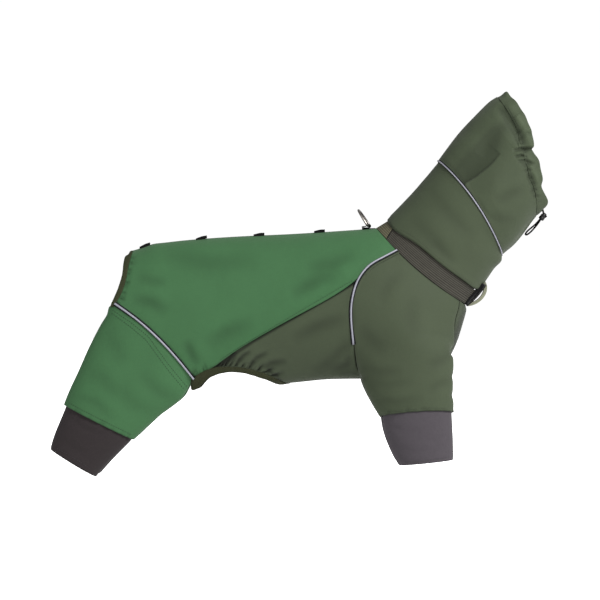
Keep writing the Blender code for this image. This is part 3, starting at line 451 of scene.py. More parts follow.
# %% [markdown]
# ## From a wall to cloth
# A packed panel is a closed wall of flat facets. Cloth needs its outer layer alone: the facets are
# merged into quads, the layer is found as the larger of the two smooth sides of the wall, and the rest
# is deleted. Subdivision rounds it, and Solidify gives it a thin wall again at the very end.

# %% Panels
WELD = 2e-5
SHARP = math.radians(58.0)
# How flat and how square two triangles are together to be merged into a quad.
FLAT = math.radians(50.0)
SQUARE = math.radians(120.0)
CLOTH_WALL = 1.1


def merged_copy(node):
    bm = bmesh.new()
    bm.from_mesh(nodes[node].data)
    bmesh.ops.remove_doubles(bm, verts=bm.verts[:], dist=WELD)
    bmesh.ops.join_triangles(bm, faces=bm.faces[:], angle_face_threshold=FLAT,
                             angle_shape_threshold=SQUARE)
    return bm


def smooth_sides(bm):
    """Groups of faces that meet without a sharp edge, the largest first."""
    groups, seen = [], set()
    for start in bm.faces:
        if start in seen:
            continue
        seen.add(start)
        group, waiting = [start], [start]
        while waiting:
            for edge in waiting.pop().edges:
                if not edge.is_manifold or edge.calc_face_angle(math.pi) > SHARP:
                    continue
                for face in edge.link_faces:
                    if face not in seen:
                        seen.add(face)
                        group.append(face)
                        waiting.append(face)
        groups.append(group)
    return sorted(groups, key=lambda group: -sum(face.calc_area() for face in group))


def outer_layer(node):
    bm = merged_copy(node)
    kept = set(smooth_sides(bm)[0])
    bmesh.ops.delete(bm, geom=[face for face in bm.faces if face not in kept], context="FACES")
    return bm


def rim_places(mesh):
    """The mesh's rim vertices."""
    counts = {}
    for polygon in mesh.polygons:
        for key in polygon.edge_keys:
            counts[key] = counts.get(key, 0) + 1
    return sorted({index for key, count in counts.items() if count == 1 for index in key})


def rim_distance(mesh):
    """Distance of each vertex from the layer's rim, in millimetres."""
    rim = rim_places(mesh)
    tree = KDTree(len(rim))
    for index in rim:
        tree.insert(mesh.vertices[index].co, index)
    tree.balance()
    return np.array([tree.find(vertex.co)[2] / MM for vertex in mesh.vertices])


# %% [markdown]
# ## Folds
# A fold is a soft trough with a low roll beside it, along a short line that is named by its places in
# the side view. The cloth moves along its own normal, so a fold turns with the surface. A ridge is the
# same with a keen crest, and a ledge drops keenly on one side, as where slack cloth breaks over an edge.
# A gather is a short trough that is deepest at the seam it starts from. In the tables of folds, a row
# holds a line, a depth and a width, and for a ledge how keen its edge is.

# %% Folds


def nearest_on_line(x, z, line):
    """Signed distance of places from a side-view line, and the share of the line at the nearest point."""
    best = np.full(len(x), 1e9)
    signed = np.zeros(len(x))
    share = np.zeros(len(x))
    spans = [math.dist(a, b) for a, b in zip(line, line[1:])]
    passed = 0.0
    for (ax, az), (bx, bz), span in zip(line, line[1:], spans):
        ux, uz = (bx - ax) / span, (bz - az) / span
        run = np.clip((x - ax) * ux + (z - az) * uz, 0.0, span)
        dx, dz = x - ax - run * ux, z - az - run * uz
        distance = np.hypot(dx, dz)
        side = np.sign(ux * (z - az) - uz * (x - ax))
        closer = distance < best
        best = np.where(closer, distance, best)
        signed = np.where(closer, side * distance, signed)
        share = np.where(closer, (passed + run) / sum(spans), share)
        passed += span
    return signed, share


def trough(x, z, line, depth, width):
    """A trough along the line, with a roll on its left side, faded at both ends."""
    signed, share = nearest_on_line(x, z, line)
    hollow = np.exp(-(signed / width) ** 2)
    roll = np.exp(-((signed - 1.8 * width) / (1.1 * width)) ** 2)
    fade = np.sin(math.pi * np.clip(share, 0.0, 1.0)) ** 0.7
    return depth * fade * (0.35 * roll - hollow)


def crest(x, z, line, height, width):
    """A keen ridge that is sharpest at the line's start and melts away at its end."""
    signed, share = nearest_on_line(x, z, line)
    soft = np.sqrt(signed ** 2 + (0.15 * width + width * share) ** 2)
    fade = np.clip(1.0 - share, 0.0, 1.0) ** 0.6 * np.clip(share / 0.04, 0.0, 1.0)
    return height * fade * np.exp(-soft / width)


def ledge(x, z, line, depth, width, edge):
    """Slack cloth that breaks over a line: it drops keenly on the line's left and rises slowly again."""
    signed, share = nearest_on_line(x, z, line)
    drop = 0.5 + 0.5 * np.tanh(signed / edge)
    fade = np.clip(share / 0.04, 0.0, 1.0) * np.clip(1.0 - share, 0.0, 1.0) ** 0.5
    return -depth * fade * drop * np.exp(-(np.maximum(signed, 0.0) / width) ** 1.5)


def gather(x, z, start, end, depth, width):
    """A trough that is deepest at its start."""
    signed, share = nearest_on_line(x, z, (start, end))
    narrow = width * (0.6 + 0.8 * share)
    return -depth * (1.0 - share) ** 1.1 * np.exp(-(signed / narrow) ** 2)


# %% [markdown]
# Gathers come in uneven rows. Each one starts on a line and leans its own way, drawn from a seed, so the
# rows are the same at every run.

# %% Rows of gathers


def line_spans(line):
    """How far along a side-view line each of its places lies."""
    return np.concatenate([[0.0], np.cumsum([math.dist(a, b) for a, b in zip(line, line[1:])])])


def place_at(line, spans, run):
    return tuple(float(np.interp(run, spans, [place[axis] for place in line])) for axis in (0, 1))


def gathers(line, count, reach, depth, width, lean, seed, ends=(0.0, 1.0)):
    """Uneven gathers that start on a line: start, end, depth and width of each."""
    draw = random.Random(seed)
    spans = line_spans(line)
    made = []
    for number in range(count):
        share = ends[0] + (ends[1] - ends[0]) * (number + draw.uniform(0.15, 0.85)) / count
        x, z = place_at(line, spans, share * spans[-1])
        angle = math.radians(lean + draw.uniform(-16.0, 16.0))
        length = reach * draw.uniform(0.45, 1.2)
        end = (x + length * math.cos(angle), z + length * math.sin(angle))
        made.append(((x, z), end, depth * draw.uniform(0.4, 1.15), width * draw.uniform(0.75, 1.3)))
    return made


# %% [markdown]
# Pressing adds all of these to a layer, with the slack of the cloth between them. It also notes at each
# vertex how hollow and how raised the cloth is: the finishes paint shade into the hollows and make raised
# cloth lighter.

# %% Pressing
HEM_REACH = 1.8
RIM_SHADE_REACH = 1.1
# Depth in millimetres at which a hollow gets all the painted shade its panel allows, and height of a full
# ridge.
HOLLOW_DEPTH = 2.1
RIDGE_HEIGHT = 3.0
RIDGE_LIMIT = 0.6
RIM_SHARE = 0.78
SMALL_SLACK = 0.12
# Distance from the middle plane over which a one-sided shape comes in.
MIDDLE_FADE = (-4, 8)


def write_number(mesh, name, values):
    mesh.attributes.new(name, "FLOAT", "POINT").data.foreach_set("value", values.astype(np.float32))


def smooth_step(values, low, high):
    share = np.clip((values - low) / (high - low), 0.0, 1.0)
    return share * share * (3 - 2 * share)


def pull(points, pulls):
    """Moves the places near a corner by a step in the side view."""
    moved = points.copy()
    for (at_x, at_z), reach, (step_x, step_z) in pulls:
        share = np.exp(-((points[:, 0] - at_x) ** 2 + (points[:, 2] - at_z) ** 2) / reach ** 2)
        moved[:, 0] += share * step_x
        moved[:, 2] += share * step_z
    return moved


def slack_waves(x, z, seed):
    """The long uneven swell of slack cloth, and a short one on top of it."""
    soft = (np.sin(x / 23.0 + 1.3 * np.sin(z / 31.0 + seed) + seed)
            * np.sin(z / 19.0 + 1.1 * np.sin(x / 27.0 - seed) + 2.0 * seed))
    small = np.sin(x / 6.1 + 1.9 * np.sin(z / 9.3 + seed)) * np.sin(z / 5.3 + 1.7 * np.sin(x / 8.1 - seed))
    return soft, small


def press(obj, folds=(), deep=(), crests=(), ledges=(), gather_list=(), steps=(), shades=(), pulls=(),
          hem_dip=0.5, slack=0.6, seed=0.0, keep=(3.0, 9.0), side=None, rim_shade=0.55, tuck=0.0,
          dark=0.42):
    """Presses folds, gathers and the slack of the cloth into a layer. Folds fade near the rim, and deep
    ones cross it, so that two panels that share a seam go down together. Gathers keep a tucked rim where
    it is. Painted shade darkens the hollows, the rims and the cloth along a shade line, where it lies under
    another edge. With a side given, the shape fades out at the middle plane, and side 0 keeps both halves."""
    mesh = obj.data
    points, normals = coordinates(mesh), vertex_normals(mesh)
    rim = rim_distance(mesh)
    x, z = points[:, 0], points[:, 2]
    inner = smooth_step(rim, *keep)
    height = np.zeros(len(x))
    for line, depth, width in folds:
        height += inner * trough(x, z, line, depth, width)
    for line, depth, width in deep:
        height += trough(x, z, line, depth, width)
    for line, rise, width in crests:
        height += crest(x, z, line, rise, width)
    for line, depth, width, edge in ledges:
        height += ledge(x, z, line, depth, width, edge)
    free = smooth_step(rim, 0.0, tuck) if tuck else 1.0
    for start, end, depth, width in gather_list:
        height += free * gather(x, z, start, end, depth, width)
    if side is not None:
        height *= smooth_step(side * points[:, 1] if side else np.abs(points[:, 1]), *MIDDLE_FADE)
    shape = height.copy()
    soft, small = slack_waves(x, z, seed)
    height += inner * (slack * soft + SMALL_SLACK * slack * small)
    for line, width, rise in steps:
        signed, _ = nearest_on_line(x, z, line)
        height += rise * np.exp(-(signed / width) ** 2)
    height -= hem_dip * np.exp(-(rim / HEM_REACH) ** 2)
    set_coordinates(mesh, pull(points + height[:, None] * normals, pulls))
    # Painted shade: how much darker the colour is made in the folds' hollows, along the rims and along the
    # shade lines.
    hollow = np.clip(-shape * dark / HOLLOW_DEPTH, 0.0, dark)
    hollow += RIM_SHARE * rim_shade * np.exp(-(rim / RIM_SHADE_REACH) ** 2)
    for line, width, amount in shades:
        signed, _ = nearest_on_line(x, z, line)
        hollow += amount * np.exp(-(signed / width) ** 2)
    write_number(mesh, "hollow", hollow)
    write_number(mesh, "ridge", np.clip(shape / RIDGE_HEIGHT, 0.0, RIDGE_LIMIT))
    return obj


# %% [markdown]
# ## A map for the weave
# Each panel is part of a tube, so its map is the tube's: along the tube in metres, and round it in
# metres. The seam of the map lies where the face that crosses it is unwrapped by a full turn.

# %% Tube maps


def whole_numbers(items, name):
    values = np.empty(len(items), np.int32)
    items.foreach_get(name, values)
    return values


def wrap(obj, foot, head, radius):
    """Writes the tube map about the axis from foot to head."""
    axis = (Vector(head) - Vector(foot)).normalized()
    across = Vector((0.0, 1.0, 0.0))
    other = axis.cross(across).normalized()
    mesh = obj.data
    points = coordinates(mesh) - np.array(foot)
    along = points @ np.array(axis)
    angle = np.arctan2(points @ np.array(across), points @ np.array(other))
    corners = whole_numbers(mesh.loops, "vertex_index")
    starts = whole_numbers(mesh.polygons, "loop_start")
    totals = whole_numbers(mesh.polygons, "loop_total")
    turned = angle[corners]
    owner = np.repeat(np.arange(len(starts)), totals)
    highest = np.maximum.reduceat(turned, starts)
    lowest = np.minimum.reduceat(turned, starts)
    crosses = (highest - lowest > math.pi)[owner]
    turned = np.where(crosses & (turned < 0), turned + TURN, turned)
    layer = mesh.uv_layers.new(name="cloth_map")
    places = np.column_stack([along[corners] * MM, turned * radius * MM])
    layer.data.foreach_set("uv", places.astype(np.float32).ravel())
    return obj


def thicken(obj, wall=CLOTH_WALL):
    modifier = obj.modifiers.new("wall", "SOLIDIFY")
    modifier.thickness = wall * MM
    modifier.offset = -1.0
    modifier.use_even_offset = False
    return obj


BODY_TUBE = ((-300, 0, -120), (150, 0, -95), 90)
HOOD_TUBE = ((120, 0, -45), (235, 0, 100), 65)


def leg_tube(centre, foot, head, radius):
    """Axis of a leg on either side."""
    return lambda side: ((foot[0], side * centre, foot[1]), (head[0], side * centre, head[1]), radius)


FRONT_TUBE = leg_tube(43.0, (118.0, -330.0), (95.0, -180.0), 40.0)
HIND_TUBE = leg_tube(38.0, (-370.0, -320.0), (-270.0, -170.0), 40.0)
SIDES = (("right", -1), ("left", 1))


def panel(node, name, material, tube_map, levels=3, wall=CLOTH_WALL, **pressing):
    """A cloth piece on a packed panel: its layer, its folds, its map, its wall and its finish."""
    obj = mesh_object(name, outer_layer(node))
    subdivide(obj, levels)
    press(obj, **pressing)
    wrap(obj, *tube_map)
    obj.data.materials.append(material)
    thicken(obj, wall)
    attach(obj, "suit")
    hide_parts(node)
    return obj


# %% [markdown]
# ## The back panels
# Two green panels meet along the spine. Most of the cloth is drawn smooth over the back. Small gathers
# pull at the rump, where the elastic binding holds the edge, and at the binding of the belly. The lower
# edge of the saddle lies over the belly panel, so it stands a little proud.

# %% Back panels
RUMP_LINE = ((-291.6, -32.9), (-294.6, -47.3), (-297.6, -68.6), (-304.5, -88.2), (-311.5, -100.7))
FLANK_LINE = ((-204.3, -203.7), (-196.1, -198.4), (-187.6, -192.9), (-176.8, -189.6))
SADDLE_LINE = ((-176.8, -189.6), (-150.9, -169.4), (-121.1, -151.2), (21.6, -68.2))
BACK_FOLDS = (
    (((-290, -92), (-262, -98), (-238, -112)), 1.2, 9),
    (((-284, -60), (-262, -70), (-240, -70)), 0.9, 9),
    (((-215, -150), (-206, -170), (-198, -186)), 1.4, 7),
    (((-186, -160), (-160, -140), (-120, -125)), 1, 12),
    (((5, -60), (-30, -66), (-70, -90)), 1.3, 11),
    (((20, -30), (-10, -44), (-50, -50)), 1, 10),
    (((-250, -30), (-180, -44), (-110, -40)), 0.8, 14),
)
# Lifts the spine's line a little over the loins.
LOIN = (((-262, -18), 13, (0, 1.5)),)


def shifted(folds, step=(0.0, 0.0), share=1.0):
    """The same folds, moved and changed a little for the hidden side."""
    return [([(x + step[0], z + step[1]) for x, z in line], depth * share, *rest)
            for line, depth, *rest in folds]


for side_name, side in SIDES:
    hidden = side > 0
    back_gathers = gathers(RUMP_LINE, 13, 10.0, 2.8, 2.0, -8.0, 11 + side)
    back_gathers += gathers(FLANK_LINE, 6, 13.0, 2.2, 2.2, 112.0, 21 + side)
    panel(f"back_{side_name}", f"back_{side_name}_cloth", green_cloth, BODY_TUBE,
          folds=shifted(BACK_FOLDS, (9.0, -5.0), 0.85) if hidden else BACK_FOLDS,
          gather_list=back_gathers, steps=((SADDLE_LINE, 5.0, 0.9),), pulls=LOIN, tuck=1.3, hem_dip=0.15,
          seed=0.7 + hidden, dark=0.7)

# %% [markdown]
# ## The belly and chest panel
# One olive panel lies under the belly and climbs the chest. The elastic of the belly binding gathers it
# into a fan of creases, which is the liveliest cloth on the suit.

# %% Belly panel
BELLY_LINE = ((-176.8, -189.6), (-163.9, -188.2), (-149, -188.2), (-132.9, -189.8), (-116.9, -194),
              (-106.1, -197.3), (-84.7, -206.9))
BELLY_FOLDS = (
    (((-160, -184), (-146, -168), (-136, -160)), 2.6, 4),
    (((-146, -186), (-134, -172), (-124, -166)), 2, 3.2),
    (((-128, -188), (-116, -176), (-100, -168)), 1.8, 4),
    (((-112, -194), (-96, -184), (-74, -180)), 1.6, 5),
    (((-40, -196), (-8, -176), (12, -150)), 0.9, 9),
    (((-14, -194), (8, -186), (17, -170)), 1.2, 6),
    (((-70, -150), (-30, -130), (8, -118)), 1, 10),
)
# Slits that the elastic pulls at the binding: start, end, depth, width.
BELLY_SLITS = (
    ((-171, -188.4), (-160, -176), 4.6, 2), ((-165, -188), (-154, -171), 4.2, 1.6),
    ((-160, -188), (-150, -168), 4.8, 1.7), ((-154, -188.2), (-145, -174), 3.6, 1.5),
    ((-146, -188.4), (-138, -174), 4.2, 1.6), ((-137, -189), (-131, -180), 2.8, 1.5),
    ((-127, -191), (-119, -179), 4.2, 1.7), ((-115, -194.5), (-105, -182), 3.6, 1.8),
    ((-106, -197.3), (-90, -189), 4.4, 2), ((-96, -202), (-76, -195), 3.4, 2.4),
)
# Painted shade for the saddle's edge on the belly panel: a narrow dark band, wider at its rear corner.
SADDLE_SHADES = (
    (((-158, -178), (-120.2, -153), (22.5, -70)), 1.9, 0.95),
    (((-176, -192), (-160, -180.6), (-148, -171)), 4.6, 0.8),
    (((-98, -194.6), (-88, -201), (-82.6, -208.6)), 2.4, 0.6),
    (((4, -198), (20, -196)), 4, 0.35),
)
CHEST_HOLLOW = ((((186, -98), (178, -128), (170, -150), (160, -176)), 3.6, 13),)
belly_gathers = list(BELLY_SLITS) + gathers(BELLY_LINE, 14, 9.0, 1.6, 1.4, 66.0, 5, ends=(0.0, 0.9))
panel("underbody", "underbody_cloth", olive_cloth, BODY_TUBE, folds=BELLY_FOLDS, deep=CHEST_HOLLOW,
      gather_list=belly_gathers, steps=((SADDLE_LINE, 3.2, -1.6),), shades=SADDLE_SHADES, tuck=1.6,
      hem_dip=0.3, slack=0.5, seed=2.1, dark=0.85)

# %% [markdown]
# ## The sleeves
# A raglan sleeve runs from the neck seam down the front leg in one piece. It hangs fuller than the leg,
# so long soft folds run from the armpit, and the hem crumples a little over the cuff.

# %% Sleeves
SLEEVE_FOLDS = (
    (((22, -186), (50, -196), (84, -194)), 1.3, 8),
    (((30, -208), (62, -214), (100, -206)), 0.8, 8),
    (((40, -232), (76, -236), (112, -230)), 0.9, 6),
    (((158, -164), (140, -178), (118, -188)), 1.2, 9),
    (((157, -206), (134, -212), (118, -224)), 0.9, 7),
    (((22, -130), (40, -152), (62, -168)), 1.1, 11),
    (((100, -90), (96, -120), (104, -150)), 0.9, 12),
    (((86, -52), (66, -72), (52, -100)), 0.8, 10),
)
# Slack that shows on the front outline of the leg.
SLEEVE_WAVES = (
    (((160, -168), (152, -170)), 1.8, 4), (((160, -200), (150, -202)), 1.3, 5),
    (((160, -226), (150, -229)), 1.2, 5), (((26, -200), (36, -206)), 1.2, 5),
)
FRONT_HEM = ((52, -257), (90, -252), (120, -249), (160, -250.5))

for side_name, side in SIDES:
    hidden = side > 0
    panel(f"sleeve_{side_name}", f"sleeve_{side_name}_cloth", olive_cloth, FRONT_TUBE(side),
          folds=shifted(SLEEVE_FOLDS, (6.0, 6.0), 1.1) if hidden else SLEEVE_FOLDS, deep=SLEEVE_WAVES,
          gather_list=gathers(FRONT_HEM, 10, 10.0, 1.7, 2.8, 92.0, 31 + side),
          hem_dip=0.35, slack=0.5, seed=1.2 + hidden, keep=(1.5, 8.0))

# %% [markdown]
# ## The hind legs
# The green hind legs slant to the rear. The seam on the thigh holds the piping, and two rows of
# topstitching follow below it.

# %% Hind legs
HIND_FOLDS = (
    (((-222, -232), (-252, -222), (-278, -196)), 1.1, 10),
    (((-250, -250), (-286, -240), (-312, -212)), 0.8, 11),
    (((-330, -140), (-312, -160), (-300, -186)), 0.8, 12),
    (((-352, -196), (-330, -204), (-310, -228)), 0.7, 10),
    (((-372, -226), (-340, -236), (-312, -262)), 0.9, 7),
)
THIGH_CORNERS = (((-316, -107), 9, (-4.5, 2.5)), ((-204, -214), 8, (2, 1)))
HIND_HEM = ((-384.6, -239.7), (-350, -257), (-318, -273), (-285.5, -289.7))

for side_name, side in SIDES:
    hidden = side > 0
    panel(f"hind_leg_{side_name}", f"hind_leg_{side_name}_cloth", green_cloth, HIND_TUBE(side),
          folds=shifted(HIND_FOLDS, (-6.0, 8.0), 1.1) if hidden else HIND_FOLDS,
          gather_list=gathers(HIND_HEM, 9, 9.0, 1.3, 2.6, 64.0, 41 + side),
          pulls=THIGH_CORNERS, hem_dip=0.35, slack=0.45, seed=0.4 + hidden, keep=(1.5, 8.0))

# %% [markdown]
# ## The cuffs
# Plain cuffs of jersey come out from inside the hems. They are nearly smooth, with a few shallow
# wrinkles across them.

# %% Cuffs
FRONT_CUFF_FOLDS = (
    (((62, -268), (84, -276), (110, -272)), 0.9, 4),
    (((74, -300), (100, -306), (130, -300)), 0.7, 5),
    (((150, -280), (130, -290), (112, -288)), 0.7, 5),
)
HIND_CUFF_FOLDS = (
    (((-380, -256), (-352, -274), (-320, -286)), 0.9, 4),
    (((-392, -290), (-364, -302), (-344, -318)), 0.7, 5),
)

for side_name, side in SIDES:
    step = (4.0, 6.0) if side > 0 else (0.0, 0.0)
    panel(f"front_cuff_{side_name}", f"front_cuff_{side_name}_jersey", front_knit_lit, FRONT_TUBE(side),
          folds=shifted(FRONT_CUFF_FOLDS, step), hem_dip=0.4, slack=0.45, seed=side, keep=(1.0, 5.0))
    panel(f"hind_cuff_{side_name}", f"hind_cuff_{side_name}_jersey", hind_knit_shaded, HIND_TUBE(side),
          folds=shifted(HIND_CUFF_FOLDS, step), hem_dip=0.4, slack=0.45, seed=side + 0.5, keep=(1.0, 5.0))

# %% [markdown]
# ## Collar and hood
# The collar stands up as a tube. The empty hood falls slack: one big soft dent on its side with a keen
# crease in front of it, and deep puckers where the casing gathers it round the face. The dents cross the
# seam between the hood and its casing, so both get the same list.

# %% Collar and hood
COLLAR_FOLDS = (
    (((96, 20), (124, -8), (160, -40)), 1.1, 9),
    (((120, 60), (150, 24), (188, -14)), 1, 10),
    (((110, -16), (130, -20), (160, -48)), 0.8, 7),
)
HOOD_FOLDS = (
    (((216, 172), (228, 166), (238, 152)), 1.4, 6),
    (((168, 132), (190, 140), (214, 160)), 1, 10),
    (((212, 40), (236, 52), (258, 58)), 1.2, 8),
    (((196, 20), (220, 16), (244, 14)), 1, 8),
)
HOOD_DENTS = (
    (((158, 66), (172, 86), (190, 104), (208, 120), (226, 134)), 3.4, 15),
    (((190, 108), (204, 128), (216, 140), (236, 150)), 2.6, 10),
    (((222, 178), (231, 162.4), (243.6, 140), (253.4, 120.4), (259, 104)), 4.4, 6),
    (((238, 112), (250, 114), (262, 114.5), (276, 113)), 4.6, 2.4),
    (((240, 103), (250, 105), (260, 102)), 3.8, 2),
    (((244, 97), (256, 98), (270, 92)), 3, 2.4),
    (((252, 100), (258, 88), (266, 68), (272, 44)), 2.6, 4),
    (((250, 132), (258, 136), (268, 134)), 1.8, 3),
)
HOOD_LEDGES = ((((169, 64), (174, 68), (187, 76), (207.2, 92), (221.2, 108)),
                5.6, 15, 0.8),)
HOOD_CRESTS = (
    (((171, 64), (187, 74.6), (207, 90.4), (221, 106)), 1.6, 4),
    (((243, 160), (254, 143), (264, 120)), 2, 4.5),
    (((262, 92), (270, 76), (277, 58), (281, 38)), 2.2, 4),
    (((246, 120), (258, 122), (268, 121)), 2.4, 3),
)
COLLAR_CORNER = (((222, -41), 8, (5.6, 0)),)
# The hem's end sticks up as a small tip at the top of the hood.
HOOD_TIP = (((231.6, 192), 4.5, (0.5, 3.6)),)
CASING_LINE = ((230, 172), (244.4, 146), (253.4, 108.1), (262.6, 76.2), (271.6, 53.5), (276, 34))
# The channel is two layers of cloth.
CASING_WALL = 2.2
# Count, reach, depth and width of the puckers that cross the casing's seam.
CASING_PUCKERS = (14, 12, 1.7, 2.8)

panel("collar", "collar_cloth", olive_cloth, HOOD_TUBE, folds=COLLAR_FOLDS, pulls=COLLAR_CORNER,
      hem_dip=0.2, slack=0.8, seed=0.9, rim_shade=0.3)
for side_name, side in SIDES:
    hidden = side > 0
    step, share = ((4.0, -5.0), 0.85) if hidden else ((0.0, 0.0), 1.0)
    hood_gathers = gathers(CASING_LINE, *CASING_PUCKERS, 186.0, 51, ends=(0.24, 0.96))
    panel(f"hood_{side_name}", f"hood_{side_name}_cloth", olive_cloth, HOOD_TUBE, levels=4,
          folds=shifted(HOOD_FOLDS, step, share), deep=HOOD_DENTS, crests=HOOD_CRESTS,
          ledges=shifted(HOOD_LEDGES, step, share), side=side, pulls=HOOD_TIP,
          gather_list=hood_gathers, hem_dip=0.0, slack=0.9, seed=1.7 + hidden, rim_shade=0.0)
casing_gathers = gathers(CASING_LINE, *CASING_PUCKERS, 2.0, 51, ends=(0.24, 0.96))
panel("hood_casing", "hood_casing_cloth", olive_cloth, HOOD_TUBE, levels=3, wall=CASING_WALL,
      deep=HOOD_DENTS, crests=HOOD_CRESTS, gather_list=casing_gathers, side=0, pulls=HOOD_TIP, hem_dip=0.0,
      slack=0.3, seed=2.6, keep=(1.0, 4.0), rim_shade=0.0)

# %% [markdown]
# ## Strips
# Webbing, tapes and bindings are long narrow solids. A walk from one end, ring by ring, tells each
# vertex how far along and how far across the strip it lies. The weave reads these two numbers, and the
# bindings are swollen, lengthened and gathered by them.

# %% Strips
CREASED = math.radians(40.0)


def ring_walk(bm):
    """Rings of a strip, from the ring at its end."""
    ends = [group for group in smooth_sides(bm) if len(group) <= 2]
    ring, rings, seen = {vert for face in ends[-1] for vert in face.verts}, [], set()
    while ring:
        rings.append(sorted(ring, key=lambda vert: vert.index))
        seen |= ring
        ring = {edge.other_vert(vert) for vert in ring for edge in vert.link_edges} - seen
    return rings


def ring_middles(rings):
    return [sum((vert.co for vert in ring), Vector()) / len(ring) for ring in rings]


def number_strip(bm):
    """Writes along and across on a strip's vertices, in metres; returns its rings and their middles."""
    along_layer = bm.verts.layers.float.new("along")
    across_layer = bm.verts.layers.float.new("across")
    bm.verts.index_update()
    rings = ring_walk(bm)
    middles = ring_middles(rings)
    run, last = 0.0, None
    for number, (ring, middle) in enumerate(zip(rings, middles)):
        run += (middle - middles[max(number - 1, 0)]).length
        span = max((a.co - b.co for a in ring for b in ring), key=lambda gap: gap.length).normalized()
        if last is not None and span.dot(last) < 0:
            span = -span
        last = span
        for vert in ring:
            vert[along_layer] = run
            vert[across_layer] = (vert.co - middle).dot(span)
    return rings, middles


def strip(node, name, material, levels=2, crease=0.85, swell=1.0, reach=0.0):
    """A woven strip on a packed one: rounded, swollen by a share and lengthened at its ends."""
    bm = merged_copy(node)
    layer = bm.edges.layers.float.new("crease_edge")
    rings, middles = number_strip(bm)
    for edge in bm.edges:
        if edge.is_manifold and edge.calc_face_angle(0.0) > CREASED:
            edge[layer] = crease
    for ring, middle in zip(rings, middles):
        for vert in ring:
            vert.co = middle + (vert.co - middle) * swell
    for ring, middle, inside in ((rings[0], middles[0], middles[1]), (rings[-1], middles[-1], middles[-2])):
        step = (middle - inside).normalized() * MM * reach
        for vert in ring:
            vert.co += step
    obj = mesh_object(name, bm)
    subdivide(obj, levels)
    obj.data.materials.clear()
    obj.data.materials.append(material)
    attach(obj, "suit")
    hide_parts(node)
    print(name, "strip of", len(rings), "rings")
    return obj


def read_number(mesh, name):
    values = np.empty(len(mesh.vertices), np.float32)
    mesh.attributes[name].data.foreach_get("value", values)
    return values.astype(float) / MM


def ruche(obj, pitch, depth, seed):
    """Uneven gathers across an elastic strip."""
    mesh = obj.data
    points, normals = coordinates(mesh), vertex_normals(mesh)
    along, across = read_number(mesh, "along"), read_number(mesh, "across")
    phase = TURN * along / pitch + 1.1 * np.sin(along / 7.3 + seed) + 0.35 * np.sin(across / 1.7 + seed)
    wave = np.sin(phase) + 0.4 * np.sin(2.3 * phase + 1.0)
    set_coordinates(mesh, points + (depth * wave)[:, None] * normals)


# %% [markdown]
# The webbing and the nape tape lie flat. The bindings are elastic, so they are fuller and ruched. The
# top corner of the rump's binding is drawn in.

# %% Webbing, tape and bindings
RUMP_CORNER = (((-301, -27), 5, (4, -3.4)),)

for side_name, side in SIDES:
    strip(f"webbing_{side_name}", f"webbing_{side_name}_strap", webbing_finish, 3)
strip("nape_tape", "nape_tape_strap", nape_finish, 3)
rump = strip("rump_binding", "rump_binding_elastic", binding_finish, 2, 0.0, 1.22, 5.0)
ruche(rump, 3.1, 0.16, 0.4)
set_coordinates(rump.data, pull(coordinates(rump.data), RUMP_CORNER))
ruche(strip("belly_binding", "belly_binding_elastic", binding_finish, 2, 0.25, 1.12, 5.0), 2.7, 0.16, 1.9)

# %% [markdown]
# ## Sweeps
# Piping, tape loops and wire are one profile drawn along a route. The profile starts as a ring of
# vertices, is extruded for every step, and each new ring is turned into place by the change from one
# frame of the route to the next.

# %% Sweeps
BODY_AXIS_Z = -105.0


def route_frames(route, up_of, closed):
    """A matrix for each place of a route: across, up, forward, and the place."""
    steps = np.roll(route, -1, 0) - np.roll(route, 1, 0) if closed else np.gradient(route, axis=0)
    frames = []
    for place, step in zip(route, steps):
        forward = Vector(step).normalized()
        up = Vector(up_of(place))
        up = (up - forward * up.dot(forward)).normalized()
        across = forward.cross(up)
        turn = Matrix((across, up, forward)).transposed().to_4x4()
        frames.append(Matrix.Translation(MM * Vector(place)) @ turn)
    return frames


def sweep(name, route, profile, up_of, material, closed=False):
    """A solid drawn along a route from a closed profile of places across and up, with the given material."""
    route = np.asarray(route, float)
    frames = route_frames(route, up_of, closed)
    bm = bmesh.new()
    along_layer = bm.verts.layers.float.new("along")
    across_layer = bm.verts.layers.float.new("across")
    ring = [bm.verts.new(frames[0] @ (MM * Vector((across, up, 0.0)))) for across, up in profile]
    for vert, (across, _) in zip(ring, profile):
        vert[across_layer] = across * MM
    edges = [bm.edges.new((a, b)) for a, b in zip(ring, ring[1:] + ring[:1])]
    first, run = list(edges), 0.0
    for number in range(1, len(frames)):
        made = bmesh.ops.extrude_edge_only(bm, edges=edges)["geom"]
        moved = [item for item in made if isinstance(item, bmesh.types.BMVert)]
        fresh = set(moved)
        edges = [item for item in made if isinstance(item, bmesh.types.BMEdge) and set(item.verts) <= fresh]
        bmesh.ops.transform(bm, matrix=frames[number] @ frames[number - 1].inverted(), verts=moved)
        run += float(np.linalg.norm(route[number] - route[number - 1])) * MM
        for vert in moved:
            vert[along_layer] = run
    if closed:
        bmesh.ops.bridge_loops(bm, edges=first + edges)
    else:
        bmesh.ops.contextual_create(bm, geom=first)
        bmesh.ops.contextual_create(bm, geom=edges)
    bmesh.ops.recalc_face_normals(bm, faces=bm.faces[:])
    obj = mesh_object(name, bm)
    obj.data.materials.append(material)
    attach(obj, "suit")
    return obj


def oval(width, height, count=12, lift=0.0):
    return [(width / 2 * math.cos(TURN * n / count), lift + height / 2 * math.sin(TURN * n / count))
            for n in range(count)]


